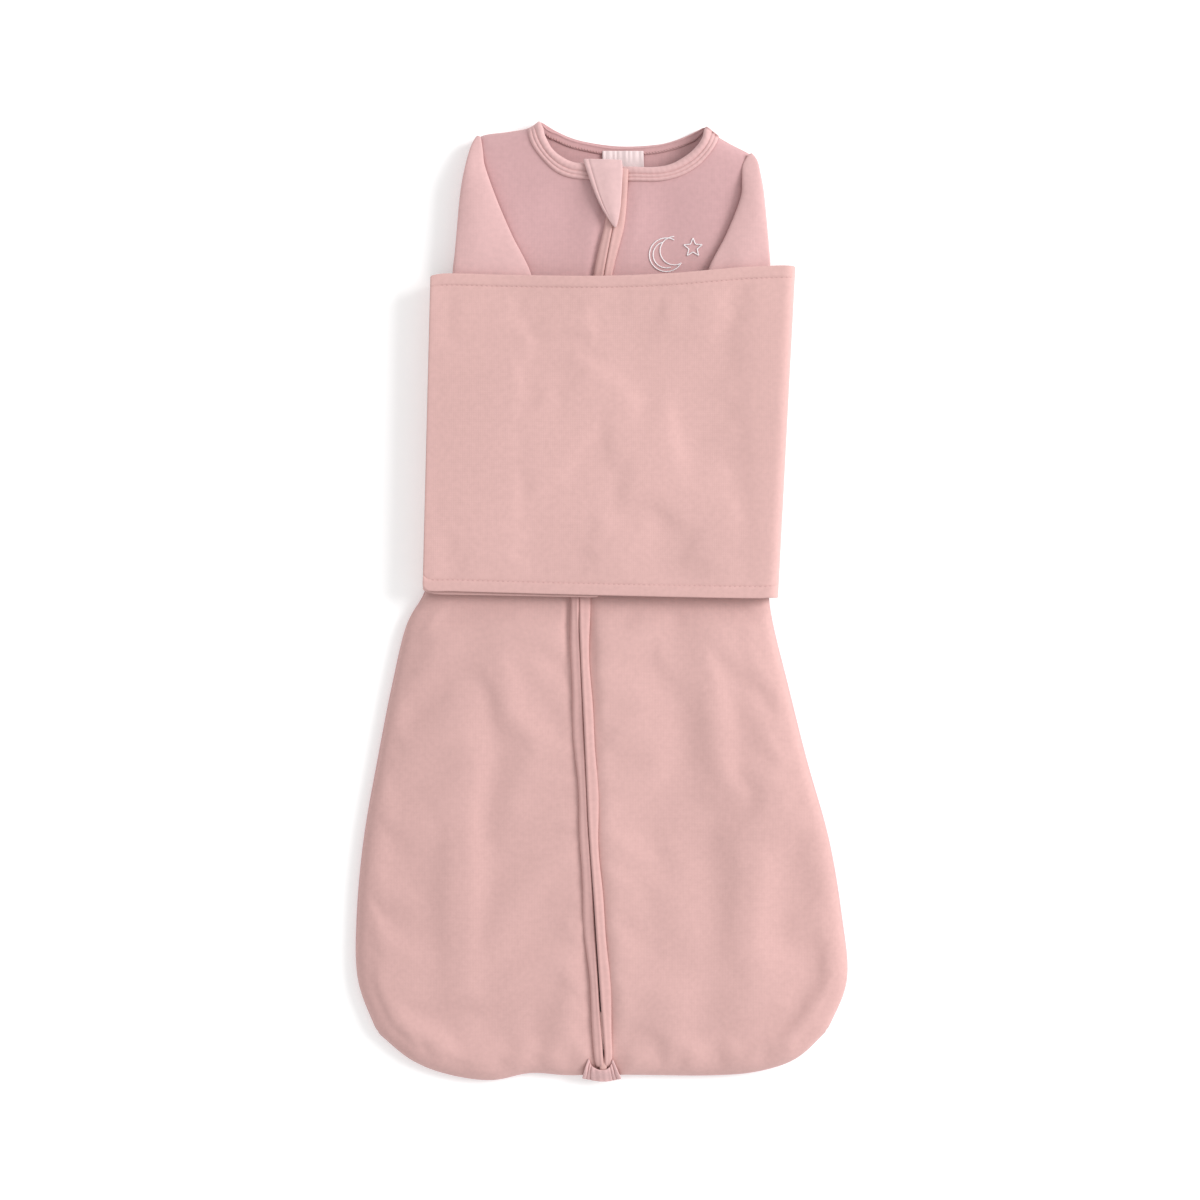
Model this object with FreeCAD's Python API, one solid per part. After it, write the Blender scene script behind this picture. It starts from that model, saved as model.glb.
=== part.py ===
import FreeCAD, Part
import math
import os
from FreeCAD import Vector

# A baby sleeping bag with a wrap-around swaddle band, lying closed on its back.
# Millimetres. X runs across the bag (+X is the wearer's left), +Y runs to the head,
# +Z is up out of the front. The origin is on the surface under the middle of the bag.

# Overall sizes
LENGTH = 650.0            # neck peaks to the end of the hem tab
SKIRT_WIDTH = 331.0       # widest, near the hem
WAIST_WIDTH = 232.0       # under the band's lower edge
CHEST_WIDTH = 213.0       # just above the band
SHOULDER_WIDTH = 198.5    # at the shoulder tips
HEM_TAB_DROP = 5.0        # hem tab below the hem
HEM_CORNER_R = 67.0       # round corners of the skirt

# How far the middle of the bag lies from X = 0 at each level, because it lies slightly bowed
SHOULDER_MIDDLE = 7.7
CHEST_MIDDLE = 6.5
WAIST_MIDDLE = -1.0
HEM_MIDDLE = 0.0

# Levels measured down from the neck peaks
SHOULDER_DROP = 37.0      # where the side starts to turn into the shoulder
LEFT_TIP_DROP = 11.0      # outer end of the shoulder seam on the -X side
RIGHT_TIP_DROP = 17.0     # and on the +X side
SHOULDER_TURN = 13.0      # how far the shoulder tip comes in from the side
SHOULDER_BULGE = 4.5      # roundness of the shoulder tip
CHEST_DROP = 97.0         # lower end of the armhole
WAIST_DROP = 320.0        # level of the band's lower edge
SKIRT_DROP = 7.0          # the skirt spreads over this height below the band
SKIRT_STEP = 8.0          # how much wider the skirt is just below the band
SKIRT_TOP_MIDDLE = -6.0   # middle of the bag just below the band
SKIRT_SIDE_R = 480.0      # bow of the skirt's sides above the corners

# Neck
NECK_MIDDLE = 13.5
NECK_WIDTH = 114.0        # between the two neck peaks
BACK_NECK_DEPTH = 16.5    # back neckline below the peaks
FRONT_NECK_DEPTH = 34.5   # front neckline below the peaks
BINDING_WIDTH = 7.0
BINDING = 1.0             # thickness of the doubled binding
NECK_TAPE_WIDTH = 7.0
NECK_TAPE = 0.7
LABEL_WIDTH = 30.0
LABEL_LENGTH = 14.0
LABEL = 0.4
LABEL_GAP = 0.3

# Fabric and heights
BACK = 1.2                # back panel
FRONT = 1.2               # front panels
SEAM = 1.2                # width of the seam walls
BAND = 1.4                # padded swaddle band
LAYER_GAP = 0.3           # between layers that can slide on each other
INSIDE = 8.0              # room inside between the raised back and the front
RAMP = 8.0                # the back climbs onto the band over this length
RAMP_MARGIN = 6.0         # ramps start this far outside the band

# Zip, laid along one circular bow
ZIP_BOW = 25.762          # how far a zip of the bag's whole length bows sideways
ZIP_LEFTMOST_X = -15.0
ZIP_MIDDLE_SHARE = -0.0631  # level of the bow's furthest point, as a share of the length
ZIP_EDGE = 5.0            # front panel edge to the zip's middle
TAPE = 0.6
TAPE_SLOT = 0.9           # half of the gap between the tapes
TAPE_REACH = 13.0         # outer edge of a tape from the zip's middle
COIL_SLOT = 0.6           # half of the gap between the coils, for the slider's wedge
COIL_WIDTH = 2.0
COIL_HEIGHT = 1.8
STOP_LENGTH = 3.0
TOP_STOP_DROP = 41.0      # top stops below the neck peaks
BOTTOM_STOP_RISE = 12.0   # bottom stop above the hem
SLIDER_LENGTH = 9.0
SLIDER_WIDTH = 8.0
SLIDER_PLATE = 0.8
SLIDER_CLEAR = 0.3
SLIDER_PARK = 5.0         # slider's middle past its own half length from a stop
WEDGE_WIDTH = 0.8
WEDGE_LENGTH = 3.0
FLANGE = 0.8
BAIL_WIDTH = 0.7
BAIL_LENGTH = 3.0
BAIL_HEIGHT = 1.8
PIN_R = 0.4
PIN_CLEAR = 0.1
PULL_WIDTH = 2.1
PULL_THICK = 1.2
PULL_LENGTH = 21.0
PULL_CHEEK = 0.5

# Zip lips, garage flap and hem tab
LIP_INNER = 1.5           # half of the gap between the two lips
LIP_WIDTH = 7.0
LIP = 1.8
LIP_ROOT = 3.2            # width of the sewn part
FLAP_WIDTH = 25.0
FLAP_LENGTH = 43.0
FLAP = 1.6
FLAP_TIP = 0.78           # place of the tip across the flap
FLAP_MIDDLE = 0.7
FLAP_ABOVE_NECKLINE = 4.5
TAB_WIDTH = 16.0
TAB_BOTTOM = 3.0
TAB_TOP = 12.0

# Sleeves, folded forward over the chest with their ends under the band
SLEEVE_WALL = 0.8
SLEEVE_INSIDE = 5.0
ARMHOLE_GAP = 6.0
ARMHOLE_TOP_DROP = 25.0
SLEEVE_DROP = 160.0       # sleeve hem below the neck peaks
CUFF_LENGTH = 28.0
CUFF_INSET = 3.0          # cuff narrower than the sleeve on each side
LEFT_SLEEVE = (12.5, 31.0, 50.5, 62.0)    # folded edge from the bag's side, at four levels
RIGHT_SLEEVE = (11.0, 20.0, 44.0, 52.0)
SLEEVE_LEVELS = (11.0, 55.0, 106.0, 160.0)

# Swaddle band
BAND_STANDOFF = 16.0      # band stands out beyond the chest at its top
BAND_EASE = 2.1           # clearance of the band round the waist
BAND_TOP_DROP = 105.0     # band's top edge below the neck peaks, at the middle
BAND_TOP_RISE = 8.0       # +X end of the top edge is this much higher
BAND_HEM_RISE = -6.0      # +X end of the lower edge is this much lower
BAND_TOP_MIDDLE = 7.5
FOLD_CORNER = 3.0
ROOT_INSET = 11.0         # stiff part of a wing starts here
WING_CORNER_R = 8.0
INNER_WING_SHARE = 0.46   # inner wing's reach as a share of the band
INNER_WING_SHOW = 2.0     # inner wing shows this much below the outer one
INNER_WING_TOP_INSET = 3.0
PATCH = 0.8               # hook and loop tape
PATCH_WIDTH = 40.0
PATCH_LENGTH = 100.0
PATCH_INSET = 14.0
LOOP_MARGIN = 3.0         # loop tape is this much larger than the hook tape

# Embroidery on the chest
STITCH_HEIGHT = 0.4
STITCH_WIDTH = 1.6
MOON_R = 12.0
MOON_INNER_R = 10.0
MOON_OFFSET = 5.5
MOON_X = 43.0
MOON_DROP = 92.0
STAR_R = 7.0
STAR_INNER_R = 2.9
STAR_X = 61.0
STAR_DROP = 88.0

# Worked out from the sizes above
PEAK_Y = LENGTH / 2
HEM_Y = -LENGTH / 2 + HEM_TAB_DROP
CHEST_Y = PEAK_Y - CHEST_DROP
WAIST_Y = PEAK_Y - WAIST_DROP
SKIRT_TOP_Y = WAIST_Y - SKIRT_DROP
SKIRT_FOOT_Y = HEM_Y + HEM_CORNER_R
SKIRT_TOP_WIDTH = WAIST_WIDTH + SKIRT_STEP
RAISED = BAND + LAYER_GAP                     # back panel where it crosses the band
PANEL_Z = RAISED + BACK + INSIDE              # underside of the front panels
PANEL_TOP = PANEL_Z + FRONT
TAPE_Z = PANEL_Z - TAPE
COIL_TOP = PANEL_Z + COIL_HEIGHT
SLIDER_TOP_Z = COIL_TOP + SLIDER_CLEAR        # underside of a slider's top plate
LIP_Z = SLIDER_TOP_Z + SLIDER_PLATE + SLIDER_CLEAR
LIP_TOP = LIP_Z + LIP
FLAP_Z = LIP_TOP + LAYER_GAP
BAIL_Z = SLIDER_TOP_Z + SLIDER_PLATE
PIVOT_Z = BAIL_Z + BAIL_HEIGHT / 2
SLEEVE_Z = PANEL_TOP + LAYER_GAP
SLEEVE_TOP = SLEEVE_Z + SLEEVE_INSIDE + 2 * SLEEVE_WALL
INNER_WING_Z = SLEEVE_TOP + LAYER_GAP
INNER_WING_TOP = INNER_WING_Z + BAND
HOOK_Z = INNER_WING_TOP + PATCH + LAYER_GAP
OUTER_WING_Z = HOOK_Z + PATCH
OUTER_WING_TOP = OUTER_WING_Z + BAND
BAND_TOP_Y = PEAK_Y - BAND_TOP_DROP
BAND_TOP_WIDTH = CHEST_WIDTH + 2 * BAND_STANDOFF
BAND_HEM_WIDTH = WAIST_WIDTH + 2 * (BAND + BAND_EASE)
ZIP_RADIUS = LENGTH ** 2 / (8 * ZIP_BOW)
ZIP_MIDDLE_Y = ZIP_MIDDLE_SHARE * LENGTH
ZIP_CENTRE = Vector(ZIP_LEFTMOST_X + ZIP_RADIUS, ZIP_MIDDLE_Y, 0)
STOP_TOP_Y = PEAK_Y - TOP_STOP_DROP
STOP_BOTTOM_Y = HEM_Y + BOTTOM_STOP_RISE
TOP_SLIDER_Y = STOP_TOP_Y - SLIDER_LENGTH / 2 - SLIDER_PARK
BOTTOM_SLIDER_Y = STOP_BOTTOM_Y + SLIDER_LENGTH / 2 + SLIDER_PARK
FLAP_HINGE_Y = PEAK_Y - FRONT_NECK_DEPTH + FLAP_ABOVE_NECKLINE
LABEL_Z = BACK + NECK_TAPE + LABEL_GAP
LABEL_HINGE_Y = PEAK_Y - BACK_NECK_DEPTH - NECK_TAPE_WIDTH / 2


def line(start, end):
    return Part.makeLine(Vector(*start), Vector(*end))


def polygon(points):
    corners = [Vector(x, y, 0) for x, y in points]
    return Part.Face(Part.makePolygon(corners + corners[:1]))


def prism(face, low, high):
    base = face.translated(Vector(0, 0, low))
    return base.extrude(Vector(0, 0, high - low))


def block(x0, x1, y0, y1, z0, z1):
    return Part.makeBox(x1 - x0, y1 - y0, z1 - z0, Vector(x0, y0, z0))


def save(name, shape):
    shape.exportStep("parts/" + name + ".step")


def side_x(side, width, middle):
    return middle + side * width / 2


def side_points(side):
    """Shoulder side, chest, waist and skirt top on one side (-1 or +1)."""
    shoulder = (side_x(side, SHOULDER_WIDTH, SHOULDER_MIDDLE), PEAK_Y - SHOULDER_DROP, 0)
    chest = (side_x(side, CHEST_WIDTH, CHEST_MIDDLE), CHEST_Y, 0)
    waist = (side_x(side, WAIST_WIDTH, WAIST_MIDDLE), WAIST_Y, 0)
    skirt = (side_x(side, SKIRT_TOP_WIDTH, SKIRT_TOP_MIDDLE), SKIRT_TOP_Y, 0)
    return shoulder, chest, waist, skirt


def skirt_edges(side):
    """Flaring side of the skirt: straight from the band, then bowed into the round corner."""
    start = Vector(*side_points(side)[3])
    foot = Vector(side_x(side, SKIRT_WIDTH, HEM_MIDDLE), SKIRT_FOOT_Y, 0)
    centre = foot - Vector(side * SKIRT_SIDE_R, 0, 0)
    away = start - centre
    bearing = math.atan2(away.y, side * away.x)
    touch = bearing - math.acos(SKIRT_SIDE_R / away.Length)
    points = []
    for angle in (touch, touch / 2):
        arm = Vector(side * math.cos(angle), math.sin(angle), 0)
        points.append(centre + arm * SKIRT_SIDE_R)
    return [Part.makeLine(start, points[0]), Part.Arc(points[0], points[1], foot).toShape()]


def hem_corner(side):
    x = side_x(side, SKIRT_WIDTH, HEM_MIDDLE)
    reach = HEM_CORNER_R * math.sqrt(0.5)
    middle = Vector(x - side * (HEM_CORNER_R - reach), SKIRT_FOOT_Y - reach, 0)
    end = Vector(x - side * HEM_CORNER_R, HEM_Y, 0)
    return Part.Arc(Vector(x, SKIRT_FOOT_Y, 0), middle, end).toShape()


def shoulder_tip(side):
    """Outer end of the shoulder seam."""
    drop = LEFT_TIP_DROP if side < 0 else RIGHT_TIP_DROP
    x = side_x(side, SHOULDER_WIDTH, SHOULDER_MIDDLE) - side * SHOULDER_TURN
    return Vector(x, PEAK_Y - drop, 0)


def neck_peak(side):
    return Vector(NECK_MIDDLE + side * NECK_WIDTH / 2, PEAK_Y, 0)


def shoulder_arc(side):
    start = Vector(*side_points(side)[0])
    end = shoulder_tip(side)
    across = (end - start).normalize()
    outward = Vector(side * across.y, -side * across.x, 0)
    middle = (start + end) * 0.5 + outward * SHOULDER_BULGE
    return Part.Arc(start, middle, end).toShape()


def side_edges(side):
    shoulder, chest, waist, skirt = side_points(side)
    seam_end = shoulder_tip(side)
    return [
        Part.makeLine(neck_peak(side), seam_end),
        shoulder_arc(side),
        line(shoulder, chest),
        line(chest, waist),
        line(waist, skirt),
        hem_corner(side),
    ] + skirt_edges(side)


def bag_outline():
    """Outline of the whole bag, with the back neckline at the top."""
    lowest = Vector(NECK_MIDDLE, PEAK_Y - BACK_NECK_DEPTH, 0)
    neckline = Part.Arc(neck_peak(-1), lowest, neck_peak(1)).toShape()
    ends = [side_x(side, SKIRT_WIDTH, HEM_MIDDLE) - side * HEM_CORNER_R for side in (-1, 1)]
    hem = line((ends[0], HEM_Y, 0), (ends[1], HEM_Y, 0))
    edges = [neckline, hem] + side_edges(-1) + side_edges(1)
    return Part.Face(Part.Wire(Part.__sortEdges__(edges)))


def above_back():
    """Everything above the back panel, which climbs over the band."""
    low = WAIST_Y - RAMP_MARGIN
    high = BAND_TOP_Y + BAND_TOP_RISE / 2 + RAMP_MARGIN
    profile = [
        (-LENGTH, BACK), (low - RAMP, BACK), (low, RAISED + BACK), (high, RAISED + BACK),
        (high + RAMP, BACK), (LENGTH, BACK), (LENGTH, LENGTH), (-LENGTH, LENGTH),
    ]
    corners = [Vector(-LENGTH, y, z) for y, z in profile]
    return Part.Face(Part.makePolygon(corners + corners[:1])).extrude(Vector(2 * LENGTH, 0, 0))


def back_panel(outline, above):
    """One cloth thickness between the climbing surface and the same surface lowered."""
    slab = prism(outline, 0, RAISED + BACK)
    lowered = above.translated(Vector(0, 0, -BACK))
    return slab.common(lowered).cut(above)


def neck_ellipse(inset):
    """Front neckline's half ellipse, with the neck opening above it."""
    reach = NECK_WIDTH / 2 + BINDING_WIDTH - inset
    depth = FRONT_NECK_DEPTH + BINDING_WIDTH - BACK_NECK_DEPTH / 2 - inset
    centre_y = PEAK_Y - BACK_NECK_DEPTH / 2
    ellipse = Part.Ellipse(Vector(NECK_MIDDLE, centre_y, 0), reach, depth)
    disc = Part.Face(Part.Wire(ellipse.toShape()))
    above = polygon([
        (NECK_MIDDLE - reach, centre_y), (NECK_MIDDLE + reach, centre_y),
        (NECK_MIDDLE + reach, LENGTH), (NECK_MIDDLE - reach, LENGTH),
    ])
    return prism(disc, -1, 2 * PANEL_TOP).fuse(prism(above, -1, 2 * PANEL_TOP))


def zip_angle(y):
    return math.asin((y - ZIP_MIDDLE_Y) / ZIP_RADIUS)


def zip_point(u, angle):
    """Point beside the zip's middle line, u towards +X."""
    radius = ZIP_RADIUS - u
    return ZIP_CENTRE + Vector(-radius * math.cos(angle), radius * math.sin(angle), 0)


def zip_strip(u0, u1, y0, y1, z0, z1):
    """Strip along the zip's bow between two offsets, two levels and two heights."""
    a0, a1 = zip_angle(y0), zip_angle(y1)
    middle = (a0 + a1) / 2
    inner = Part.Arc(zip_point(u0, a0), zip_point(u0, middle), zip_point(u0, a1)).toShape()
    outer = Part.Arc(zip_point(u1, a0), zip_point(u1, middle), zip_point(u1, a1)).toShape()
    ends = [
        Part.makeLine(zip_point(u0, a0), zip_point(u1, a0)),
        Part.makeLine(zip_point(u0, a1), zip_point(u1, a1)),
    ]
    face = Part.Face(Part.Wire(Part.__sortEdges__([inner, outer] + ends)))
    return prism(face, z0, z1)


def mirrored_strip(side, u0, u1, y0, y1, z0, z1):
    """The same strip on one side of the zip: side is -1 or +1."""
    low, high = sorted((side * u0, side * u1))
    return zip_strip(low, high, y0, y1, z0, z1)


def half_of_bag(side):
    """Everything on one side of the zip's opening in the front."""
    return mirrored_strip(side, ZIP_EDGE, LENGTH, -LENGTH, LENGTH, -1, 4 * PANEL_TOP)


def armhole_zone(outline, side, inner_skin):
    """Open strip inside the bag's edge at one armhole."""
    outer = outline if inner_skin == 0 else outline.makeOffset2D(-inner_skin)
    core = outline.makeOffset2D(-(SLEEVE_WALL + ARMHOLE_GAP))
    strip = prism(outer, -1, 4 * PANEL_TOP).cut(prism(core, -1, 4 * PANEL_TOP))
    window = block(0, LENGTH, CHEST_Y, PEAK_Y - ARMHOLE_TOP_DROP, 0, 4 * PANEL_TOP)
    if side < 0:
        window = window.translated(Vector(-LENGTH, 0, 0))
    return strip.common(window)


def front_panel(outline, side):
    """Flat front panel with its neckline, armhole and zip edge cut out."""
    panel = prism(outline, PANEL_Z, PANEL_TOP)
    panel = panel.common(half_of_bag(side))
    panel = panel.cut(neck_ellipse(BINDING_WIDTH))
    return panel.cut(armhole_zone(outline, side, 0))


def seam_wall(outline, above):
    """Wall of the side seams between the back and front panels."""
    wall = prism(outline, 0, PANEL_Z).cut(prism(outline.makeOffset2D(-SEAM), -1, 2 * PANEL_Z))
    wall = wall.cut(neck_ellipse(BINDING_WIDTH))
    for side in (-1, 1):
        wall = wall.cut(armhole_zone(outline, side, 0))
    return wall.common(above)


def seam_pieces(wall):
    """Seam wall split into hem, sides and shoulders."""
    hem = block(-LENGTH, LENGTH, -LENGTH, SKIRT_FOOT_Y, 0, 2 * PANEL_Z)
    save("hem_seam", wall.common(hem))
    for side, name in ((-1, "right"), (1, "left")):
        x0, x1 = sorted((NECK_MIDDLE, NECK_MIDDLE + side * LENGTH))
        flank = block(x0, x1, SKIRT_FOOT_Y, CHEST_Y + RAMP, 0, 2 * PANEL_Z)
        shoulder = block(x0, x1, CHEST_Y + RAMP, LENGTH, 0, 2 * PANEL_Z)
        save("side_seam_" + name, wall.common(flank))
        save("shoulder_seam_" + name, wall.common(shoulder))


def sleeve_points(side):
    """Points down the folded inner edge of a sleeve."""
    reaches = LEFT_SLEEVE if side < 0 else RIGHT_SLEEVE
    points = []
    for reach, drop in zip(reaches, SLEEVE_LEVELS):
        y = PEAK_Y - drop
        shoulder, chest, waist, _ = side_points(side)
        upper = (shoulder, chest) if y > CHEST_Y else (chest, waist)
        share = (y - upper[0][1]) / (upper[1][1] - upper[0][1])
        edge = upper[0][0] + (upper[1][0] - upper[0][0]) * share
        points.append(Vector(edge - side * reach, y, 0))
    return points


def sleeve_area(outline, side):
    """Plan of a folded sleeve: the bag's edge outside, the folded edge inside."""
    top, upper, lower, end = sleeve_points(side)
    outside = side * LENGTH
    edges = [
        Part.Arc(top, upper, lower).toShape(),
        Part.makeLine(lower, end),
        line((end.x, end.y, 0), (outside, end.y, 0)),
        line((outside, end.y, 0), (outside, top.y, 0)),
        line((outside, top.y, 0), (top.x, top.y, 0)),
    ]
    area = Part.Face(Part.Wire(edges))
    return area.common(outline).Faces[0]


def sleeve(outline, above, side):
    """Sleeve tube, joined to the back panel round the outside of the armhole."""
    area = sleeve_area(outline, side)
    hollow = area.makeOffset2D(-SLEEVE_WALL)
    low = PEAK_Y - SLEEVE_DROP
    box = hollow.BoundBox
    mouth = block(box.XMin + 1, box.XMax - 1, low - 1, low + 1, SLEEVE_Z + SLEEVE_WALL, SLEEVE_TOP - SLEEVE_WALL)
    tube = prism(area, SLEEVE_Z, SLEEVE_TOP)
    tube = tube.cut(prism(hollow, SLEEVE_Z + SLEEVE_WALL, SLEEVE_TOP - SLEEVE_WALL))
    tube = tube.cut(mouth).cut(armhole_zone(outline, side, SLEEVE_WALL).common(
        block(-LENGTH, LENGTH, -LENGTH, LENGTH, 0, SLEEVE_Z + SLEEVE_WALL)))
    skin = prism(outline, 0, SLEEVE_Z).cut(prism(outline.makeOffset2D(-SLEEVE_WALL), -1, 2 * SLEEVE_Z))
    window = armhole_zone(outline, side, 0)
    return tube.fuse(skin.common(window).common(above)).removeSplitter()


def cuff(outline, side):
    """Open ribbed cuff at the end of a sleeve."""
    box = sleeve_area(outline, side).BoundBox
    end = sleeve_points(side)[-1]
    outer_x = box.XMin if side < 0 else box.XMax
    x0, x1 = sorted((end.x, outer_x))
    x0 += CUFF_INSET
    x1 -= CUFF_INSET
    high = PEAK_Y - SLEEVE_DROP
    body = block(x0, x1, high - CUFF_LENGTH, high, SLEEVE_Z, SLEEVE_TOP)
    body = body.makeFillet(SLEEVE_WALL * 2, [e for e in body.Edges if abs(e.Length - CUFF_LENGTH) < 0.01])
    bore = block(x0 + SLEEVE_WALL, x1 - SLEEVE_WALL, high - CUFF_LENGTH - 1, high + 1,
                 SLEEVE_Z + SLEEVE_WALL, SLEEVE_TOP - SLEEVE_WALL)
    return body.cut(bore)


def neck_binding(outline, side):
    """Doubled binding on the front neckline, one strip on each side of the zip."""
    ring = prism(outline, PANEL_TOP, PANEL_TOP + BINDING)
    ring = ring.common(neck_ellipse(0)).cut(neck_ellipse(BINDING_WIDTH))
    return ring.common(mirrored_strip(side, LIP_INNER + LIP_WIDTH + LAYER_GAP, LENGTH,
                                      -LENGTH, LENGTH, 0, 4 * PANEL_TOP))


def neck_tape():
    """Tape sewn over the back neck seam, inside the bag."""
    half = NECK_WIDTH / 2
    radius = (half ** 2 + BACK_NECK_DEPTH ** 2) / (2 * BACK_NECK_DEPTH)
    centre = Vector(NECK_MIDDLE, PEAK_Y - BACK_NECK_DEPTH + radius, BACK)
    ring = Part.makeCylinder(radius + NECK_TAPE_WIDTH, NECK_TAPE, centre)
    ring = ring.cut(Part.makeCylinder(radius, NECK_TAPE, centre))
    reach = half - BINDING_WIDTH
    window = block(NECK_MIDDLE - reach, NECK_MIDDLE + reach, 0, PEAK_Y, 0, PANEL_TOP)
    return ring.common(window)


def neck_label():
    """Soft care label hanging from the neck tape."""
    x0 = NECK_MIDDLE - LABEL_WIDTH / 2
    return block(x0, x0 + LABEL_WIDTH, LABEL_HINGE_Y - LABEL_LENGTH, LABEL_HINGE_Y, LABEL_Z, LABEL_Z + LABEL)


def zip_tape(side):
    return mirrored_strip(side, TAPE_SLOT, TAPE_REACH, STOP_BOTTOM_Y - STOP_LENGTH,
                          STOP_TOP_Y + STOP_LENGTH, TAPE_Z, PANEL_Z)


def zip_coil(side):
    return mirrored_strip(side, COIL_SLOT, COIL_SLOT + COIL_WIDTH, STOP_BOTTOM_Y, STOP_TOP_Y, PANEL_Z, COIL_TOP)


def top_stops():
    """A small metal stop over the end of each coil."""
    outer = COIL_SLOT + COIL_WIDTH
    stops = [mirrored_strip(side, TAPE_SLOT, outer, STOP_TOP_Y, STOP_TOP_Y + STOP_LENGTH, PANEL_Z, COIL_TOP)
             for side in (-1, 1)]
    return Part.makeCompound(stops)


def bottom_stop():
    reach = COIL_SLOT + COIL_WIDTH
    return zip_strip(-reach, reach, STOP_BOTTOM_Y - STOP_LENGTH, STOP_BOTTOM_Y, PANEL_Z, COIL_TOP)


def at_zip(shape, y):
    """Carry a shape built beside the zip's leftmost point along the bow to level y."""
    moved = shape.copy()
    moved.rotate(ZIP_CENTRE, Vector(0, 0, 1), -math.degrees(zip_angle(y)))
    return moved


def zip_block(half_width, y0, y1, z0, z1):
    """Block centred on the zip at its leftmost point, y0 and y1 measured from there."""
    return block(ZIP_LEFTMOST_X - half_width, ZIP_LEFTMOST_X + half_width,
                 ZIP_MIDDLE_Y + y0, ZIP_MIDDLE_Y + y1, z0, z1)


def pin(radius, half_width):
    start = Vector(ZIP_LEFTMOST_X - half_width, ZIP_MIDDLE_Y, PIVOT_Z)
    return Part.makeCylinder(radius, 2 * half_width, start, Vector(1, 0, 0))


def slider(y):
    """Slider: two plates joined by a wedge between the coils, with a bail on top."""
    half = SLIDER_LENGTH / 2
    bottom_top = TAPE_Z - SLIDER_CLEAR
    body = zip_block(SLIDER_WIDTH / 2, -half, half, SLIDER_TOP_Z, BAIL_Z)
    body = body.fuse(zip_block(SLIDER_WIDTH / 2, -half, half, bottom_top - SLIDER_PLATE, bottom_top))
    body = body.fuse(zip_block(WEDGE_WIDTH / 2, 0, WEDGE_LENGTH, bottom_top, SLIDER_TOP_Z))
    flanges = zip_block(SLIDER_WIDTH / 2, -half, half, PANEL_Z + SLIDER_CLEAR, SLIDER_TOP_Z)
    body = body.fuse(flanges.cut(zip_block(SLIDER_WIDTH / 2 - FLANGE, -half, half, 0, SLIDER_TOP_Z)))
    bail = zip_block(BAIL_WIDTH / 2, -BAIL_LENGTH / 2, BAIL_LENGTH / 2, BAIL_Z, BAIL_Z + BAIL_HEIGHT)
    body = body.fuse(bail.cut(pin(PIN_R + PIN_CLEAR, BAIL_WIDTH)))
    return at_zip(body.removeSplitter(), y)


def pull(y, direction):
    """Slim pull: two cheeks on a pin through the bail and a flat bar."""
    half = PULL_WIDTH / 2
    z0, z1 = PIVOT_Z - PULL_THICK / 2, PIVOT_Z + PULL_THICK / 2
    root = BAIL_LENGTH / 2 + SLIDER_CLEAR
    near, far = sorted((-direction * PULL_THICK / 2, direction * root))
    cheeks = zip_block(half, near, far, z0, z1)
    cheeks = cheeks.cut(zip_block(half - PULL_CHEEK, near, far, z0, z1))
    near, far = sorted((direction * root, direction * PULL_LENGTH))
    bar = zip_block(half, near, far, z0, z1)
    return at_zip(cheeks.fuse(bar).fuse(pin(PIN_R, half)).removeSplitter(), y)


def zip_lip(side):
    """Folded lip beside the zip, sewn to the panel and overhanging the slider."""
    outer = LIP_INNER + LIP_WIDTH
    low, high = HEM_Y + SEAM, PEAK_Y - FRONT_NECK_DEPTH
    over = mirrored_strip(side, LIP_INNER, outer, low, high, LIP_Z, LIP_TOP)
    root = mirrored_strip(side, outer - LIP_ROOT, outer, low, high, PANEL_TOP, LIP_Z)
    return over.fuse(root).removeSplitter().cut(neck_ellipse(BINDING_WIDTH))


def garage_flap():
    """Leaf-shaped flap that covers the top slider."""
    x0, x1 = FLAP_MIDDLE - FLAP_WIDTH / 2, FLAP_MIDDLE + FLAP_WIDTH / 2
    tip = Vector(x0 + FLAP_WIDTH * FLAP_TIP, FLAP_HINGE_Y - FLAP_LENGTH, 0)
    left, right = Vector(x0, FLAP_HINGE_Y, 0), Vector(x1, FLAP_HINGE_Y, 0)
    belly = Vector(x0 + FLAP_WIDTH * 0.18, FLAP_HINGE_Y - FLAP_LENGTH * 0.6, 0)
    shoulder = Vector(x1, FLAP_HINGE_Y - FLAP_LENGTH * 0.75, 0)
    edges = [
        Part.makeLine(left, right),
        Part.makeLine(right, shoulder),
        Part.makeLine(shoulder, tip),
        Part.Arc(tip, belly, left).toShape(),
    ]
    return prism(Part.Face(Part.Wire(edges)), FLAP_Z, FLAP_Z + FLAP)


def hem_tab():
    """Tab that closes the lower end of the zip over the hem."""
    x = zip_point(0, zip_angle(HEM_Y)).x
    return block(x - TAB_WIDTH / 2, x + TAB_WIDTH / 2, HEM_Y - HEM_TAB_DROP, HEM_Y, TAB_BOTTOM, TAB_TOP)


def fold_line(side, inset):
    """Lower and upper end of a line inside a band fold, parallel to its outer face."""
    low_x = side_x(side, BAND_HEM_WIDTH, WAIST_MIDDLE) - side * inset
    high_x = side_x(side, BAND_TOP_WIDTH, BAND_TOP_MIDDLE) - side * inset
    low = (low_x, WAIST_Y + side * BAND_HEM_RISE / 2)
    high = (high_x, BAND_TOP_Y + side * BAND_TOP_RISE / 2)
    return low, high


def along_fold(side, inset, y):
    """Point at level y on that line."""
    low, high = fold_line(side, inset)
    share = (y - low[1]) / (high[1] - low[1])
    return low[0] + (high[0] - low[0]) * share


def band_edge_y(x, top):
    """Level of the band's slanted upper or lower edge at x."""
    left, right = fold_line(-1, 0)[top], fold_line(1, 0)[top]
    share = (x - left[0]) / (right[0] - left[0])
    return left[1] + (right[1] - left[1]) * share


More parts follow.
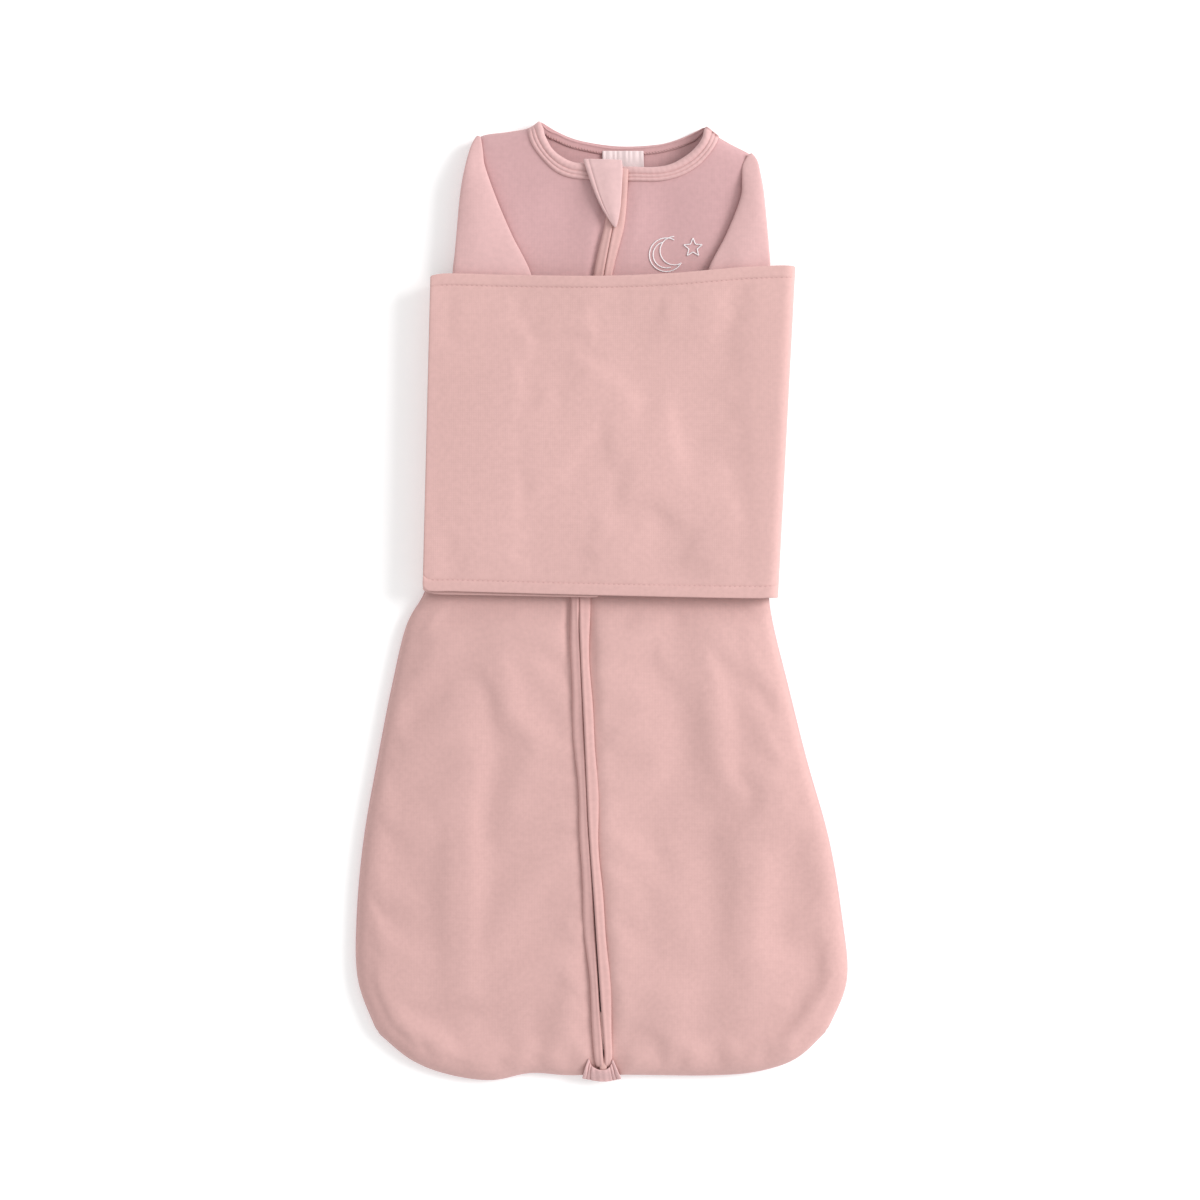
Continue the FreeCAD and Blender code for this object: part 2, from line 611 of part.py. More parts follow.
def band_corner(side, inset, top):
    """Where the band's upper or lower edge crosses a line inside a fold."""
    low, high = fold_line(side, inset)
    lean = (high[0] - low[0]) / (high[1] - low[1])
    rise = (band_edge_y(1, top) - band_edge_y(0, top))
    x = (low[0] + lean * (band_edge_y(0, top) - low[1])) / (1 - lean * rise)
    return x, band_edge_y(x, top)


def band_plan(left_inset, right_inset):
    """Plan of a band panel between two lines parallel to the folds."""
    return [
        band_corner(-1, left_inset, 0),
        band_corner(1, right_inset, 0),
        band_corner(1, right_inset, 1),
        band_corner(-1, left_inset, 1),
    ]


def band_back():
    return prism(polygon(band_plan(ROOT_INSET, ROOT_INSET)), 0, BAND)


def band_fold(side, top):
    """Soft fold that carries a wing from under the bag to its front."""
    low, high = fold_line(side, 0)
    inner = ROOT_INSET
    along = Vector(high[0] - low[0], high[1] - low[1], 0)
    outer = block(-inner, 0, 0, along.y, 0, top)
    outer = outer.makeFillet(FOLD_CORNER, [e for e in outer.Edges
                                           if abs(e.BoundBox.XMin) < 0.01 and abs(e.Length - along.y) < 0.01])
    core = block(-inner - 1, -BAND, -1, along.y + 1, BAND, top - BAND)
    rounded = [e for e in core.Edges if abs(e.BoundBox.XMin + BAND) < 0.01 and e.BoundBox.YLength > 1]
    core = core.makeFillet(FOLD_CORNER - BAND, rounded)
    section = outer.cut(core)
    if side < 0:
        section = section.mirror(Vector(0, 0, 0), Vector(1, 0, 0))
    shear = FreeCAD.Matrix()
    shear.A12 = along.x / along.y
    slanted = section.transformGeometry(shear)
    return slanted.translated(Vector(low[0], low[1], 0))


def outer_wing():
    """Outer wing, from the +X fold across the front to the -X side."""
    plate = prism(polygon(band_plan(0, ROOT_INSET)), OUTER_WING_Z, OUTER_WING_TOP)
    free = [e for e in plate.Edges if abs(e.Length - BAND) < 0.01 and e.BoundBox.XMax < 0]
    return plate.makeFillet(WING_CORNER_R, free)


def inner_wing_tip(y):
    start = along_fold(-1, 0, y)
    return start + INNER_WING_SHARE * (along_fold(1, 0, y) - start)


def inner_wing():
    """Inner wing, from the -X fold to just short of the middle."""
    plan = band_plan(ROOT_INSET, ROOT_INSET)
    low, high = plan[0], plan[3]
    low_tip, high_tip = inner_wing_tip(low[1]), inner_wing_tip(high[1])
    show, top = INNER_WING_SHOW, INNER_WING_TOP_INSET
    corners = [
        (along_fold(-1, ROOT_INSET, low[1] - show), low[1] - show),
        (low_tip, band_edge_y(low_tip, 0) - show),
        (high_tip, band_edge_y(high_tip, 1) - top),
        (along_fold(-1, ROOT_INSET, high[1] - top), high[1] - top),
    ]
    plate = prism(polygon(corners), INNER_WING_Z, INNER_WING_TOP)
    free = [e for e in plate.Edges if abs(e.Length - BAND) < 0.01 and e.BoundBox.XMax > high[0] / 2]
    return plate.makeFillet(WING_CORNER_R, free)


def patch(margin, z):
    """Hook or loop tape near the outer wing's free end."""
    y = (WAIST_Y + BAND_TOP_Y) / 2
    x0 = along_fold(-1, 0, y) + PATCH_INSET
    return block(x0 - margin, x0 + PATCH_WIDTH + margin, y - PATCH_LENGTH / 2 - margin,
                 y + PATCH_LENGTH / 2 + margin, z, z + PATCH)


def moon():
    """Crescent outline: the rim of one disc less the other."""
    centre = Vector(MOON_X, PEAK_Y - MOON_DROP, 0)
    bite = centre + Vector(MOON_OFFSET, MOON_OFFSET / 2, 0)
    crescent = Part.Face(Part.Wire(Part.makeCircle(MOON_R, centre)))
    crescent = crescent.cut(Part.Face(Part.Wire(Part.makeCircle(MOON_INNER_R, bite)))).Faces[0]
    return prism(crescent, PANEL_TOP, PANEL_TOP + STITCH_HEIGHT)


def star(radius, inner):
    """Five-pointed star centred at its place on the chest."""
    points = []
    for i in range(10):
        reach = radius if i % 2 == 0 else inner
        angle = math.pi / 2 + i * math.pi / 5
        points.append((STAR_X + reach * math.cos(angle), PEAK_Y - STAR_DROP + reach * math.sin(angle)))
    return prism(polygon(points), PANEL_TOP, PANEL_TOP + STITCH_HEIGHT)


def star_outline():
    hole = (STAR_R - STITCH_WIDTH * 1.5) / STAR_R
    return star(STAR_R, STAR_INNER_R).cut(star(STAR_R * hole, STAR_INNER_R * hole))


def build():
    outline = bag_outline()
    above = above_back()
    save("back_panel", back_panel(outline, above))
    seam_pieces(seam_wall(outline, above))
    save("band_back", band_back())
    save("band_fold_left", band_fold(1, OUTER_WING_TOP))
    save("band_fold_right", band_fold(-1, INNER_WING_TOP))
    save("outer_wing", outer_wing())
    save("inner_wing", inner_wing())
    save("hook_tape", patch(0, HOOK_Z))
    save("loop_tape", patch(LOOP_MARGIN, INNER_WING_TOP))
    for side, name in ((-1, "right"), (1, "left")):
        save("front_panel_" + name, front_panel(outline, side))
        save("sleeve_" + name, sleeve(outline, above, side))
        save("cuff_" + name, cuff(outline, side))
        save("neck_binding_" + name, neck_binding(outline, side))
        save("zip_tape_" + name, zip_tape(side))
        save("zip_coil_" + name, zip_coil(side))
        save("zip_lip_" + name, zip_lip(side))
    save("neck_tape", neck_tape())
    save("neck_label", neck_label())
    save("top_stops", top_stops())
    save("bottom_stop", bottom_stop())
    save("top_slider", slider(TOP_SLIDER_Y))
    save("top_pull", pull(TOP_SLIDER_Y, -1))
    save("bottom_slider", slider(BOTTOM_SLIDER_Y))
    save("bottom_pull", pull(BOTTOM_SLIDER_Y, 1))
    save("garage_flap", garage_flap())
    save("hem_tab", hem_tab())
    save("chest_moon", moon())
    save("chest_star", star_outline())


build()
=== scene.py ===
import math

import bmesh
import bpy
import numpy as np
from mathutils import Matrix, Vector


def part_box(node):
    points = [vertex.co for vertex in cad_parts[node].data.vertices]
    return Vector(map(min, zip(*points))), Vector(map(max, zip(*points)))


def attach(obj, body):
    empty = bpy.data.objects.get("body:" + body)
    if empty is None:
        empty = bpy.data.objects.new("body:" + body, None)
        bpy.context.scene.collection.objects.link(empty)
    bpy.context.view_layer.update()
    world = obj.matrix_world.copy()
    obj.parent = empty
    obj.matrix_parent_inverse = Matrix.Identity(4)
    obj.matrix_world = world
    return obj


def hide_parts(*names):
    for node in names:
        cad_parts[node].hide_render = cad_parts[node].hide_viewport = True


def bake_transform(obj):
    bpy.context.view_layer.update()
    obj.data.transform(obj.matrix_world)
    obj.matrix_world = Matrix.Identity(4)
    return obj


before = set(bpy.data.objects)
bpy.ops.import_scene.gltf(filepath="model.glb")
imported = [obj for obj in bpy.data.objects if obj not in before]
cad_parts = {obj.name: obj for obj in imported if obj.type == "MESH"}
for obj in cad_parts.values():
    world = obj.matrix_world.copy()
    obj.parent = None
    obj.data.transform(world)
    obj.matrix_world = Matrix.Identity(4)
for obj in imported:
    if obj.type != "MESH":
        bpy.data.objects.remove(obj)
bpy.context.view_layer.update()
scene = bpy.context.scene

# ---------------------------------------------------------------------------------------
# Camera. It hangs straight above the bag, which lies on its back.

CAMERA_HEIGHT = 1.9245
camera_data = bpy.data.cameras.new("camera")
camera_data.lens = 85
camera_data.sensor_width = 36
camera = bpy.data.objects.new("camera", camera_data)
camera.location = (-0.0017, 0, CAMERA_HEIGHT)
scene.collection.objects.link(camera)
scene.camera = camera

# ---------------------------------------------------------------------------------------
# Studio table and lights. The table is matt white and lit through from below. A large soft
# box stands on the wearer's left, and a white tent round the table fills in the shadows.

TABLE_WIDTH = 7
TABLE_DROP = 0.0005
TENT_STRENGTH = 0.74
BOX_WIDTH = 2.25
BOX_POWER = 180
BOX_PLACE = (3.9, 1.2, 2.7)

bpy.ops.mesh.primitive_plane_add(size=TABLE_WIDTH, location=(0, 0, -TABLE_DROP))
floor = bpy.context.object
floor.name = "floor"
paper = bpy.data.materials.new("table_paper")
paper.use_nodes = True
paper_shader = paper.node_tree.nodes["Principled BSDF"]
paper_shader.inputs["Base Color"].default_value = (0.95, 0.95, 0.95, 1)
paper_shader.inputs["Roughness"].default_value = 1
paper_shader.inputs["Specular IOR Level"].default_value = 0
paper_shader.inputs["Emission Color"].default_value = (1, 1, 1, 1)
paper_shader.inputs["Emission Strength"].default_value = 0.2
floor.data.materials.append(paper)

world = bpy.data.worlds.new("tent")
world.use_nodes = True
world.node_tree.nodes["Background"].inputs["Color"].default_value = (1, 1, 1, 1)
world.node_tree.nodes["Background"].inputs["Strength"].default_value = TENT_STRENGTH
scene.world = world
scene.view_settings.view_transform = "Standard"

soft_box_data = bpy.data.lights.new("soft_box", "AREA")
soft_box_data.shape = "SQUARE"
soft_box_data.size = BOX_WIDTH
soft_box_data.energy = BOX_POWER
soft_box = bpy.data.objects.new("soft_box", soft_box_data)
soft_box.location = BOX_PLACE
soft_box.rotation_euler = soft_box.location.to_track_quat("Z", "Y").to_euler()
scene.collection.objects.link(soft_box)

# ---------------------------------------------------------------------------------------
# Back panel. The whole back of the bag, one layer of knitted cotton jersey from the hem to
# the neck. It lies on the table, rises over the band that crosses under it, and turns up at
# its sides. Its jersey has fine wales, soft patches of tone and a faint nap, and painted
# shade darkens its colour in deep creases.


def add_node(tree, kind, **values):
    node = tree.nodes.new(kind)
    for key, value in values.items():
        if hasattr(node, key):
            setattr(node, key, value)
        else:
            node.inputs[key.replace("_", " ")].default_value = value
    return node


jersey = bpy.data.node_groups.new("jersey", "ShaderNodeTree")
jersey.interface.new_socket("Colour", in_out="INPUT", socket_type="NodeSocketColor")
jersey.interface.new_socket("Wale", in_out="INPUT", socket_type="NodeSocketFloat")
jersey.interface.new_socket("Colour", in_out="OUTPUT", socket_type="NodeSocketColor")
jersey.interface.new_socket("Height", in_out="OUTPUT", socket_type="NodeSocketFloat")
group_in = jersey.nodes.new("NodeGroupInput")
group_out = jersey.nodes.new("NodeGroupOutput")
place = jersey.nodes.new("ShaderNodeTexCoord")
patches = add_node(jersey, "ShaderNodeTexNoise", Scale=11, Detail=2)
fuzz = add_node(jersey, "ShaderNodeTexNoise", Scale=330, Detail=3)
wales = add_node(jersey, "ShaderNodeTexWave", bands_direction="X", Distortion=1.2, Detail=1)
courses = add_node(jersey, "ShaderNodeTexWave", bands_direction="Y", Distortion=1.2, Detail=1)
for texture in (patches, fuzz, wales, courses):
    jersey.links.new(place.outputs["Object"], texture.inputs["Vector"])
for texture in (wales, courses):
    jersey.links.new(group_in.outputs["Wale"], texture.inputs["Scale"])
patch_tone = add_node(jersey, "ShaderNodeMapRange", From_Min=0.3, From_Max=0.7, To_Min=0.965, To_Max=1.03)
fuzz_tone = add_node(jersey, "ShaderNodeMapRange", From_Min=0.25, From_Max=0.75, To_Min=0.95, To_Max=1.04)
loops = add_node(jersey, "ShaderNodeMath", operation="MULTIPLY")
tone = add_node(jersey, "ShaderNodeMath", operation="MULTIPLY")
loop_tone = add_node(jersey, "ShaderNodeMapRange", To_Min=0.99, To_Max=1.01)
whole_tone = add_node(jersey, "ShaderNodeMath", operation="MULTIPLY")
tinted = add_node(jersey, "ShaderNodeVectorMath", operation="SCALE")
jersey.links.new(patches.outputs["Fac"], patch_tone.inputs["Value"])
jersey.links.new(fuzz.outputs["Fac"], fuzz_tone.inputs["Value"])
jersey.links.new(wales.outputs["Fac"], loops.inputs[0])
jersey.links.new(courses.outputs["Fac"], loops.inputs[1])
jersey.links.new(loops.outputs["Value"], loop_tone.inputs["Value"])
jersey.links.new(patch_tone.outputs["Result"], tone.inputs[0])
jersey.links.new(fuzz_tone.outputs["Result"], tone.inputs[1])
jersey.links.new(tone.outputs["Value"], whole_tone.inputs[0])
jersey.links.new(loop_tone.outputs["Result"], whole_tone.inputs[1])
jersey.links.new(group_in.outputs["Colour"], tinted.inputs[0])
jersey.links.new(whole_tone.outputs["Value"], tinted.inputs["Scale"])
# Painted shade: ambient occlusion darkens and reddens the colour in deep creases and narrow gaps.
creases = add_node(jersey, "ShaderNodeAmbientOcclusion", samples=4, Distance=0.0035)
crease_shade_share = add_node(jersey, "ShaderNodeMapRange", From_Min=0.15, From_Max=0.8)
crease_painted_shade = add_node(jersey, "ShaderNodeMix", data_type="RGBA")
crease_painted_shade.inputs[6].default_value = (0.55, 0.40, 0.37, 1)
crease_painted_shade.inputs[7].default_value = (1, 1, 1, 1)
painted_shade_colour = add_node(jersey, "ShaderNodeVectorMath", operation="MULTIPLY")
jersey.links.new(creases.outputs["AO"], crease_shade_share.inputs["Value"])
jersey.links.new(crease_shade_share.outputs["Result"], crease_painted_shade.inputs[0])
jersey.links.new(tinted.outputs["Vector"], painted_shade_colour.inputs[0])
jersey.links.new(crease_painted_shade.outputs[2], painted_shade_colour.inputs[1])
jersey.links.new(painted_shade_colour.outputs["Vector"], group_out.inputs["Colour"])
jersey.links.new(loops.outputs["Value"], group_out.inputs["Height"])


def knit(name, colour, wale=300, depth=0.00025, sheen=0.2):
    """Jersey of one colour; wale is higher for a finer knit."""
    material = bpy.data.materials.new(name)
    material.use_nodes = True
    tree = material.node_tree
    shader = tree.nodes["Principled BSDF"]
    shader.inputs["Roughness"].default_value = 0.9
    shader.inputs["Specular IOR Level"].default_value = 0.25
    shader.inputs["Sheen Weight"].default_value = sheen
    shader.inputs["Sheen Roughness"].default_value = 0.45
    cloth = tree.nodes.new("ShaderNodeGroup")
    cloth.node_tree = jersey
    cloth.inputs["Colour"].default_value = (*colour, 1)
    cloth.inputs["Wale"].default_value = wale
    bump = add_node(tree, "ShaderNodeBump", Strength=0.16, Distance=depth)
    tree.links.new(cloth.outputs["Colour"], shader.inputs["Base Color"])
    tree.links.new(cloth.outputs["Height"], bump.inputs["Height"])
    tree.links.new(bump.outputs["Normal"], shader.inputs["Normal"])
    return material


rose_inside = knit("rose_jersey_inside", (0.62, 0.365, 0.370))


def smooth_line(points, shares):
    """Places at those shares of the length of a smooth line through a few points."""
    knots = np.array(points, float)
    reach = np.concatenate([[0], np.cumsum(np.linalg.norm(np.diff(knots, axis=0), axis=1))])
    slopes = np.empty_like(knots)
    slopes[1:-1] = (knots[2:] - knots[:-2]) / (reach[2:] - reach[:-2])[:, None]
    slopes[0] = (knots[1] - knots[0]) / (reach[1] - reach[0])
    slopes[-1] = (knots[-1] - knots[-2]) / (reach[-1] - reach[-2])
    along = np.asarray(shares, float) * reach[-1]
    k = np.clip(np.searchsorted(reach, along, side="right") - 1, 0, len(knots) - 2)
    span = (reach[k + 1] - reach[k])[:, None]
    t = (along[:, None] - reach[k][:, None]) / span
    start = (2 * t**3 - 3 * t**2 + 1) * knots[k] + (t**3 - 2 * t**2 + t) * span * slopes[k]
    end = (3 * t**2 - 2 * t**3) * knots[k + 1] + (t**3 - t**2) * span * slopes[k + 1]
    return start + end


def joined(*lines):
    """One line made of several that meet end to end."""
    return np.concatenate([lines[0]] + [line[1:] for line in lines[1:]])


def even(count):
    return np.linspace(0, 1, count)


def panel_plan(bottom, top, left, right):
    """Plan of a panel of cloth inside its four edges, as rows of places."""
    u = even(len(bottom))[None, :, None]
    v = even(len(left))[:, None, None]
    across = (1 - v) * bottom[None] + v * top[None] + (1 - u) * left[:, None] + u * right[:, None]
    corners = (1 - v) * ((1 - u) * bottom[0] + u * bottom[-1]) + v * ((1 - u) * top[0] + u * top[-1])
    return across - corners


def distance(places, line):
    """Distance in plan from each place to a line."""
    flat = places.reshape(-1, 1, 2)
    start, step = line[:-1][None], (line[1:] - line[:-1])[None]
    t = ((flat - start) * step).sum(-1) / np.maximum((step * step).sum(-1), 1e-9)
    nearest = start + np.clip(t, 0, 1)[..., None] * step
    return np.linalg.norm(flat - nearest, axis=-1).min(1).reshape(places.shape[:-1])


def rounding(away, reach):
    """0 at an edge, rising along a quarter circle to 1 at that reach."""
    return np.sqrt(1 - (1 - np.clip(away / reach, 0, 1)) ** 2)


def ease(value, start, end):
    """0 before start, 1 after end, with a soft change between."""
    t = np.clip((value - start) / (end - start), 0, 1)
    return t * t * (3 - 2 * t)


def ripples(x, y, seed, across, along, count=7):
    """Soft waves, about -1 to 1, with crests across mm apart and along mm long."""
    rng = np.random.default_rng(seed)
    total = np.zeros_like(x)
    for _ in range(count):
        wave_x = 2 * math.pi / (across * rng.uniform(0.6, 1.7))
        wave_y = 2 * math.pi / (along * rng.uniform(0.7, 1.8)) * rng.choice((-1, 1))
        total += np.sin(wave_x * x + wave_y * y + rng.uniform(0, 6.28)) / count**0.5
    return total


def relaxed(middle, pinned, cap, slack, frames=20):
    """Lets a panel settle as cloth with a little slack, held where it is pinned. Millimetres."""
    rows, columns = middle.shape[:2]
    index = np.arange(rows * columns).reshape(rows, columns)
    faces = np.stack([index[:-1, :-1], index[:-1, 1:], index[1:, 1:], index[1:, :-1]], -1).reshape(-1, 4)
    mesh = bpy.data.meshes.new("cut_cloth")
    mesh.from_pydata((middle.reshape(-1, 3) / 100).tolist(), [], faces.tolist())
    cloth = bpy.data.objects.new("cut_cloth", mesh)
    scene.collection.objects.link(cloth)
    pins = cloth.vertex_groups.new(name="pins")
    for k, hold in enumerate(pinned.ravel()):
        if hold > 0:
            pins.add([k], float(hold), "REPLACE")
    modifier = cloth.modifiers.new("cloth", "CLOTH")
    modifier.settings.quality = 6
    modifier.settings.mass = 0.2
    modifier.settings.tension_stiffness = 20
    modifier.settings.compression_stiffness = 20
    modifier.settings.shear_stiffness = 8
    modifier.settings.bending_stiffness = 1.2
    modifier.settings.shrink_min = -slack
    modifier.settings.vertex_group_mass = "pins"
    modifier.settings.effector_weights.gravity = 0
    modifier.point_cache.frame_start = 1
    modifier.point_cache.frame_end = frames
    for k in range(1, frames + 1):
        scene.frame_set(k)
    settled = cloth.evaluated_get(bpy.context.evaluated_depsgraph_get())
    co = np.empty(rows * columns * 3)
    settled.data.vertices.foreach_get("co", co)
    moved = co.reshape(rows, columns, 3) * 100 - middle
    bpy.data.objects.remove(cloth)
    scene.frame_set(1)
    size = np.linalg.norm(moved, axis=-1, keepdims=True)
    return middle + moved * np.minimum(1, cap / np.maximum(size, 1e-6))


def make_piece(name, vertices, faces, material, smooth=True):
    """A new object from millimetres, with its faces turned outwards."""
    mesh = bpy.data.meshes.new(name)
    mesh.from_pydata((np.asarray(vertices) / 1000).tolist(), [], [list(map(int, f)) for f in faces])
    work = bmesh.new()
    work.from_mesh(mesh)
    bmesh.ops.recalc_face_normals(work, faces=work.faces)
    work.to_mesh(mesh)
    work.free()
    mesh.polygons.foreach_set("use_smooth", [smooth] * len(mesh.polygons))
    mesh.materials.append(material)
    piece = bpy.data.objects.new(name, mesh)
    scene.collection.objects.link(piece)
    return piece


def subdivided(piece, levels=1):
    """Applies a subdivision to the piece's mesh."""
    modifier = piece.modifiers.new("soften", "SUBSURF")
    modifier.levels = levels
    modifier.render_levels = levels
    mesh = bpy.data.meshes.new_from_object(piece.evaluated_get(bpy.context.evaluated_depsgraph_get()))
    piece.modifiers.clear()
    piece.data = mesh
    return piece


def cloth_piece(name, middle, thickness, material):
    """A closed sheet of cloth of that thickness round its middle surface, with rounded edges."""
    rows, columns = middle.shape[:2]
    along_u = np.gradient(middle, axis=1)
    along_v = np.gradient(middle, axis=0)
    normal = np.cross(along_u, along_v)
    normal /= np.maximum(np.linalg.norm(normal, axis=-1, keepdims=True), 1e-9)
    index = np.arange(rows * columns).reshape(rows, columns)
    edge = np.concatenate([index[0, :-1], index[:-1, -1], index[-1, :0:-1], index[:0:-1, 0]])
    flat_middle, flat_normal = middle.reshape(-1, 3), normal.reshape(-1, 3)
    run = np.roll(flat_middle[edge], -1, 0) - np.roll(flat_middle[edge], 1, 0)
    outward = np.cross(run, flat_normal[edge])
    outward /= np.maximum(np.linalg.norm(outward, axis=1, keepdims=True), 1e-9)
    half = thickness / 2
    upper, lower = flat_middle + flat_normal * half, flat_middle - flat_normal * half
    vertices = np.concatenate([upper, lower, flat_middle[edge] + outward * half])
    below = rows * columns
    quads = np.stack([index[:-1, :-1], index[:-1, 1:], index[1:, 1:], index[1:, :-1]], -1).reshape(-1, 4)
    rim = 2 * below + np.arange(len(edge))
    following, next_rim = np.roll(edge, -1), np.roll(rim, -1)
    faces = quads.tolist() + (quads[:, ::-1] + below).tolist()
    faces += np.stack([rim, next_rim, following, edge], -1).tolist()
    faces += np.stack([edge + below, following + below, next_rim, rim], -1).tolist()
    return subdivided(make_piece(name, vertices, faces, material))


# The bag's own outline, wearer's right side first, from shoulder to hem corner.
RIGHT_SIDE = [
    (-86.5, 309.5), (-90.3, 298), (-94.8, 276), (-97.6, 244), (-100.3, 228), (-108, 120), (-118.5, 8),
    (-131, -14), (-141, -54), (-151.6, -108), (-161, -162), (-165.8, -216), (-164.8, -258), (-152, -292),
]
LEFT_SIDE = [
    (100.5, 300.5), (105, 294), (107.8, 276), (110.4, 244), (112.6, 228), (114.5, 120), (111.5, 8),
    (114.2, -14), (124, -54), (137.5, -108), (152.6, -162), (161.6, -216), (164.8, -258), (151.5, -291),
]
HEM = [
    (-152, -292), (-129.5, -310.5), (-106, -320), (-75, -324.4), (-49, -319.4), (-24, -321), (0, -320.5),
    (30, -320.8), (75, -321), (104, -318.6), (130.5, -310), (151.5, -291),
]
right_side = smooth_line(RIGHT_SIDE, even(70))
left_side = smooth_line(LEFT_SIDE, even(70))
hem_line = smooth_line(HEM, even(60))
RIGHT_PEAK, LEFT_PEAK = (-42.2, 324.2), (69.4, 320.5)
RIGHT_SHOULDER = [(-86.5, 309.5), (-81.6, 313.6), (-64.7, 316), (-49, 319), RIGHT_PEAK]
LEFT_SHOULDER = [LEFT_PEAK, (77, 313.5), (88, 307), (95.5, 303.3), (100.5, 300.5)]
right_shoulder = smooth_line(RIGHT_SHOULDER, even(14))
left_shoulder = smooth_line(LEFT_SHOULDER, even(14))
outline = joined(right_shoulder[::-1], right_side, hem_line, left_side[::-1], left_shoulder[::-1])
BACK_NECK = [RIGHT_PEAK, (-29, 316.6), (-15, 311.4), (11.8, 307.6), (39, 309), (52, 312.6), LEFT_PEAK]
back_neck = smooth_line(BACK_NECK, even(40))

JERSEY_THICK = 1.1
back_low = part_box("back_panel")[0].z * 1000
seam_z = 5.8
top_edge = joined(right_shoulder, back_neck, left_shoulder)
spots = np.linspace(0, len(top_edge) - 1, 80)
top_edge = np.stack([np.interp(spots, np.arange(len(top_edge)), top_edge[:, axis]) for axis in (0, 1)], -1)
plan = panel_plan(
    smooth_line(HEM, even(80)),
    top_edge,
    smooth_line(RIGHT_SIDE[::-1], even(128)),
    smooth_line(LEFT_SIDE[::-1], even(128)),
)
sides = np.concatenate([right_side, hem_line, left_side[::-1]])


def back_height(plan):
    """Height of the back panel's middle layer."""
    x, y = plan[..., 0], plan[..., 1]
    to_shoulder = np.minimum(distance(plan, right_shoulder), distance(plan, left_shoulder))
    turned_up = 1 - np.minimum(rounding(distance(plan, sides), 15), rounding(to_shoulder, 10))
    over_band = ease(y, -10, 0) * (1 - ease(y, 228, 238))
    lying_free = (1 - over_band) * (1 - ease(y, 285, 300))
    wave = 0.35 * (1 - turned_up) * (1 + ripples(x, y, 3, 70, 200)) * lying_free
    return back_low + 0.75 + 1.8 * over_band + 4.3 * turned_up * (1 - 0.3 * over_band) + wave


back_middle = np.dstack([plan, back_height(plan)])
back_panel = cloth_piece("back_panel", back_middle, JERSEY_THICK, rose_inside)
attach(back_panel, "bag")
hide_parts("back_panel")

# ---------------------------------------------------------------------------------------
# Front panels. Two halves of jersey that meet along the zip. They swell a little over the
# air inside, turn down to the side seams and hang in long soft folds over the skirt. The
# chest is painted darker and cooler than the skirt, as painted shade between the sleeves.


def painted_shade_upwards(material, colour, low, high):
    """Lets the colour drift to another one between two levels up the bag, in metres, as painted shade."""
    tree = material.node_tree
    cloth = [node for node in tree.nodes if node.type == "GROUP"][0]
    place = tree.nodes.new("ShaderNodeTexCoord")
    split = tree.nodes.new("ShaderNodeSeparateXYZ")
    level = add_node(tree, "ShaderNodeMapRange", interpolation_type="SMOOTHSTEP", From_Min=low, From_Max=high)
    drift = add_node(tree, "ShaderNodeMix", data_type="RGBA")
    drift.inputs[6].default_value = cloth.inputs["Colour"].default_value
    drift.inputs[7].default_value = (*colour, 1)
    tree.links.new(place.outputs["Object"], split.inputs["Vector"])
    tree.links.new(split.outputs["Y"], level.inputs["Value"])
    tree.links.new(level.outputs["Result"], drift.inputs[0])
    tree.links.new(drift.outputs[2], cloth.inputs["Colour"])


rose_skirt = knit("rose_jersey_skirt", (0.655, 0.407, 0.385))
# Painted shade: the colour turns darker and cooler up the chest, between the sleeves.
painted_shade_upwards(rose_skirt, (0.615, 0.372, 0.380), low=0.10, high=0.27)

ZIP_LINE = [
    (1.0, -322), (0.6, -303), (-2.0, -266), (-6.0, -202), (-9.5, -150), (-12.2, -90), (-14.6, -40),
    (-15.9, 0), (-15, 60), (-11, 120), (-5, 180), (1.4, 222), (5.3, 243), (7.3, 254), (9.6, 276), (11, 288),
]
zip_line = smooth_line(ZIP_LINE, even(60))
panel_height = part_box("front_panel_left")[0].z * 1000 + 0.6
RIGHT_NECKLINE = [
    (11, 287), (-11, 289), (-20, 290.6), (-29, 294.6), (-36, 301), (-39.6, 308.5), (-41.4, 317), RIGHT_PEAK,
]
LEFT_NECKLINE = [
    (11, 287), (25, 287.6), (39, 288), (52, 291.6), (60.6, 297), (66, 304.5), (68.6, 312.5), LEFT_PEAK,
]
RIGHT_FOLDS, LEFT_FOLDS = 11, 23


def front_height(plan, seed):
    """Height of a front panel before it settles; the seed says which side's folds it has."""
    x, y = plan[..., 0], plan[..., 1]
    to_side = distance(plan, sides)
    to_shoulder = np.minimum(distance(plan, right_shoulder), distance(plan, left_shoulder))
    to_zip = distance(plan, zip_line)
    skirt = 1 - ease(y, -26, 6)
    down = np.minimum(rounding(to_side, 15), rounding(to_shoulder, 11))
    long_swell = 2.0 * ease(to_zip, 0, 60) * ease(to_side, 0, 75) * (1 - 0.35 * ease(-y, 60, 320))
    zip_swell = 3.6 * ease(to_zip, 0, 13) * (1 - 0.75 * ease(to_zip, 11, 62)) * ease(to_side, 0, 60)
    swell = skirt * (np.where(seed == LEFT_FOLDS, zip_swell, long_swell) + 1.3)
    beside_lip = 1.5 * np.exp(-(((to_zip - 7.9) / 1.2) ** 2)) * (1 - ease(y, 268, 280))
    dish = np.exp(-(((to_zip - 30) / 17) ** 2)) * (1 - ease(y, 268, 288))
    crown = 1.0 * ease(to_side, 10, 40) * ease(to_zip, 2, 12)
    chest = ease(y, 215, 245) * (crown - 1.8 * dish + 0.25 * ripples(x, y, seed + 9, 50, 70) * crown)
    fold = skirt * ease(to_side, 0, 30) * ease(to_zip, 2, 22) * 0.6 * ripples(x, y, seed, 48, 460)
    hem_gather = (1 - ease(y, -322, -285)) * 0.8 * ripples(x, y, seed + 5, 21, 300) * ease(to_side, 0, 9)
    relief = swell + chest + fold + hem_gather - beside_lip
    return seam_z + 0.4 + (panel_height - seam_z - 0.4) * down + relief * down


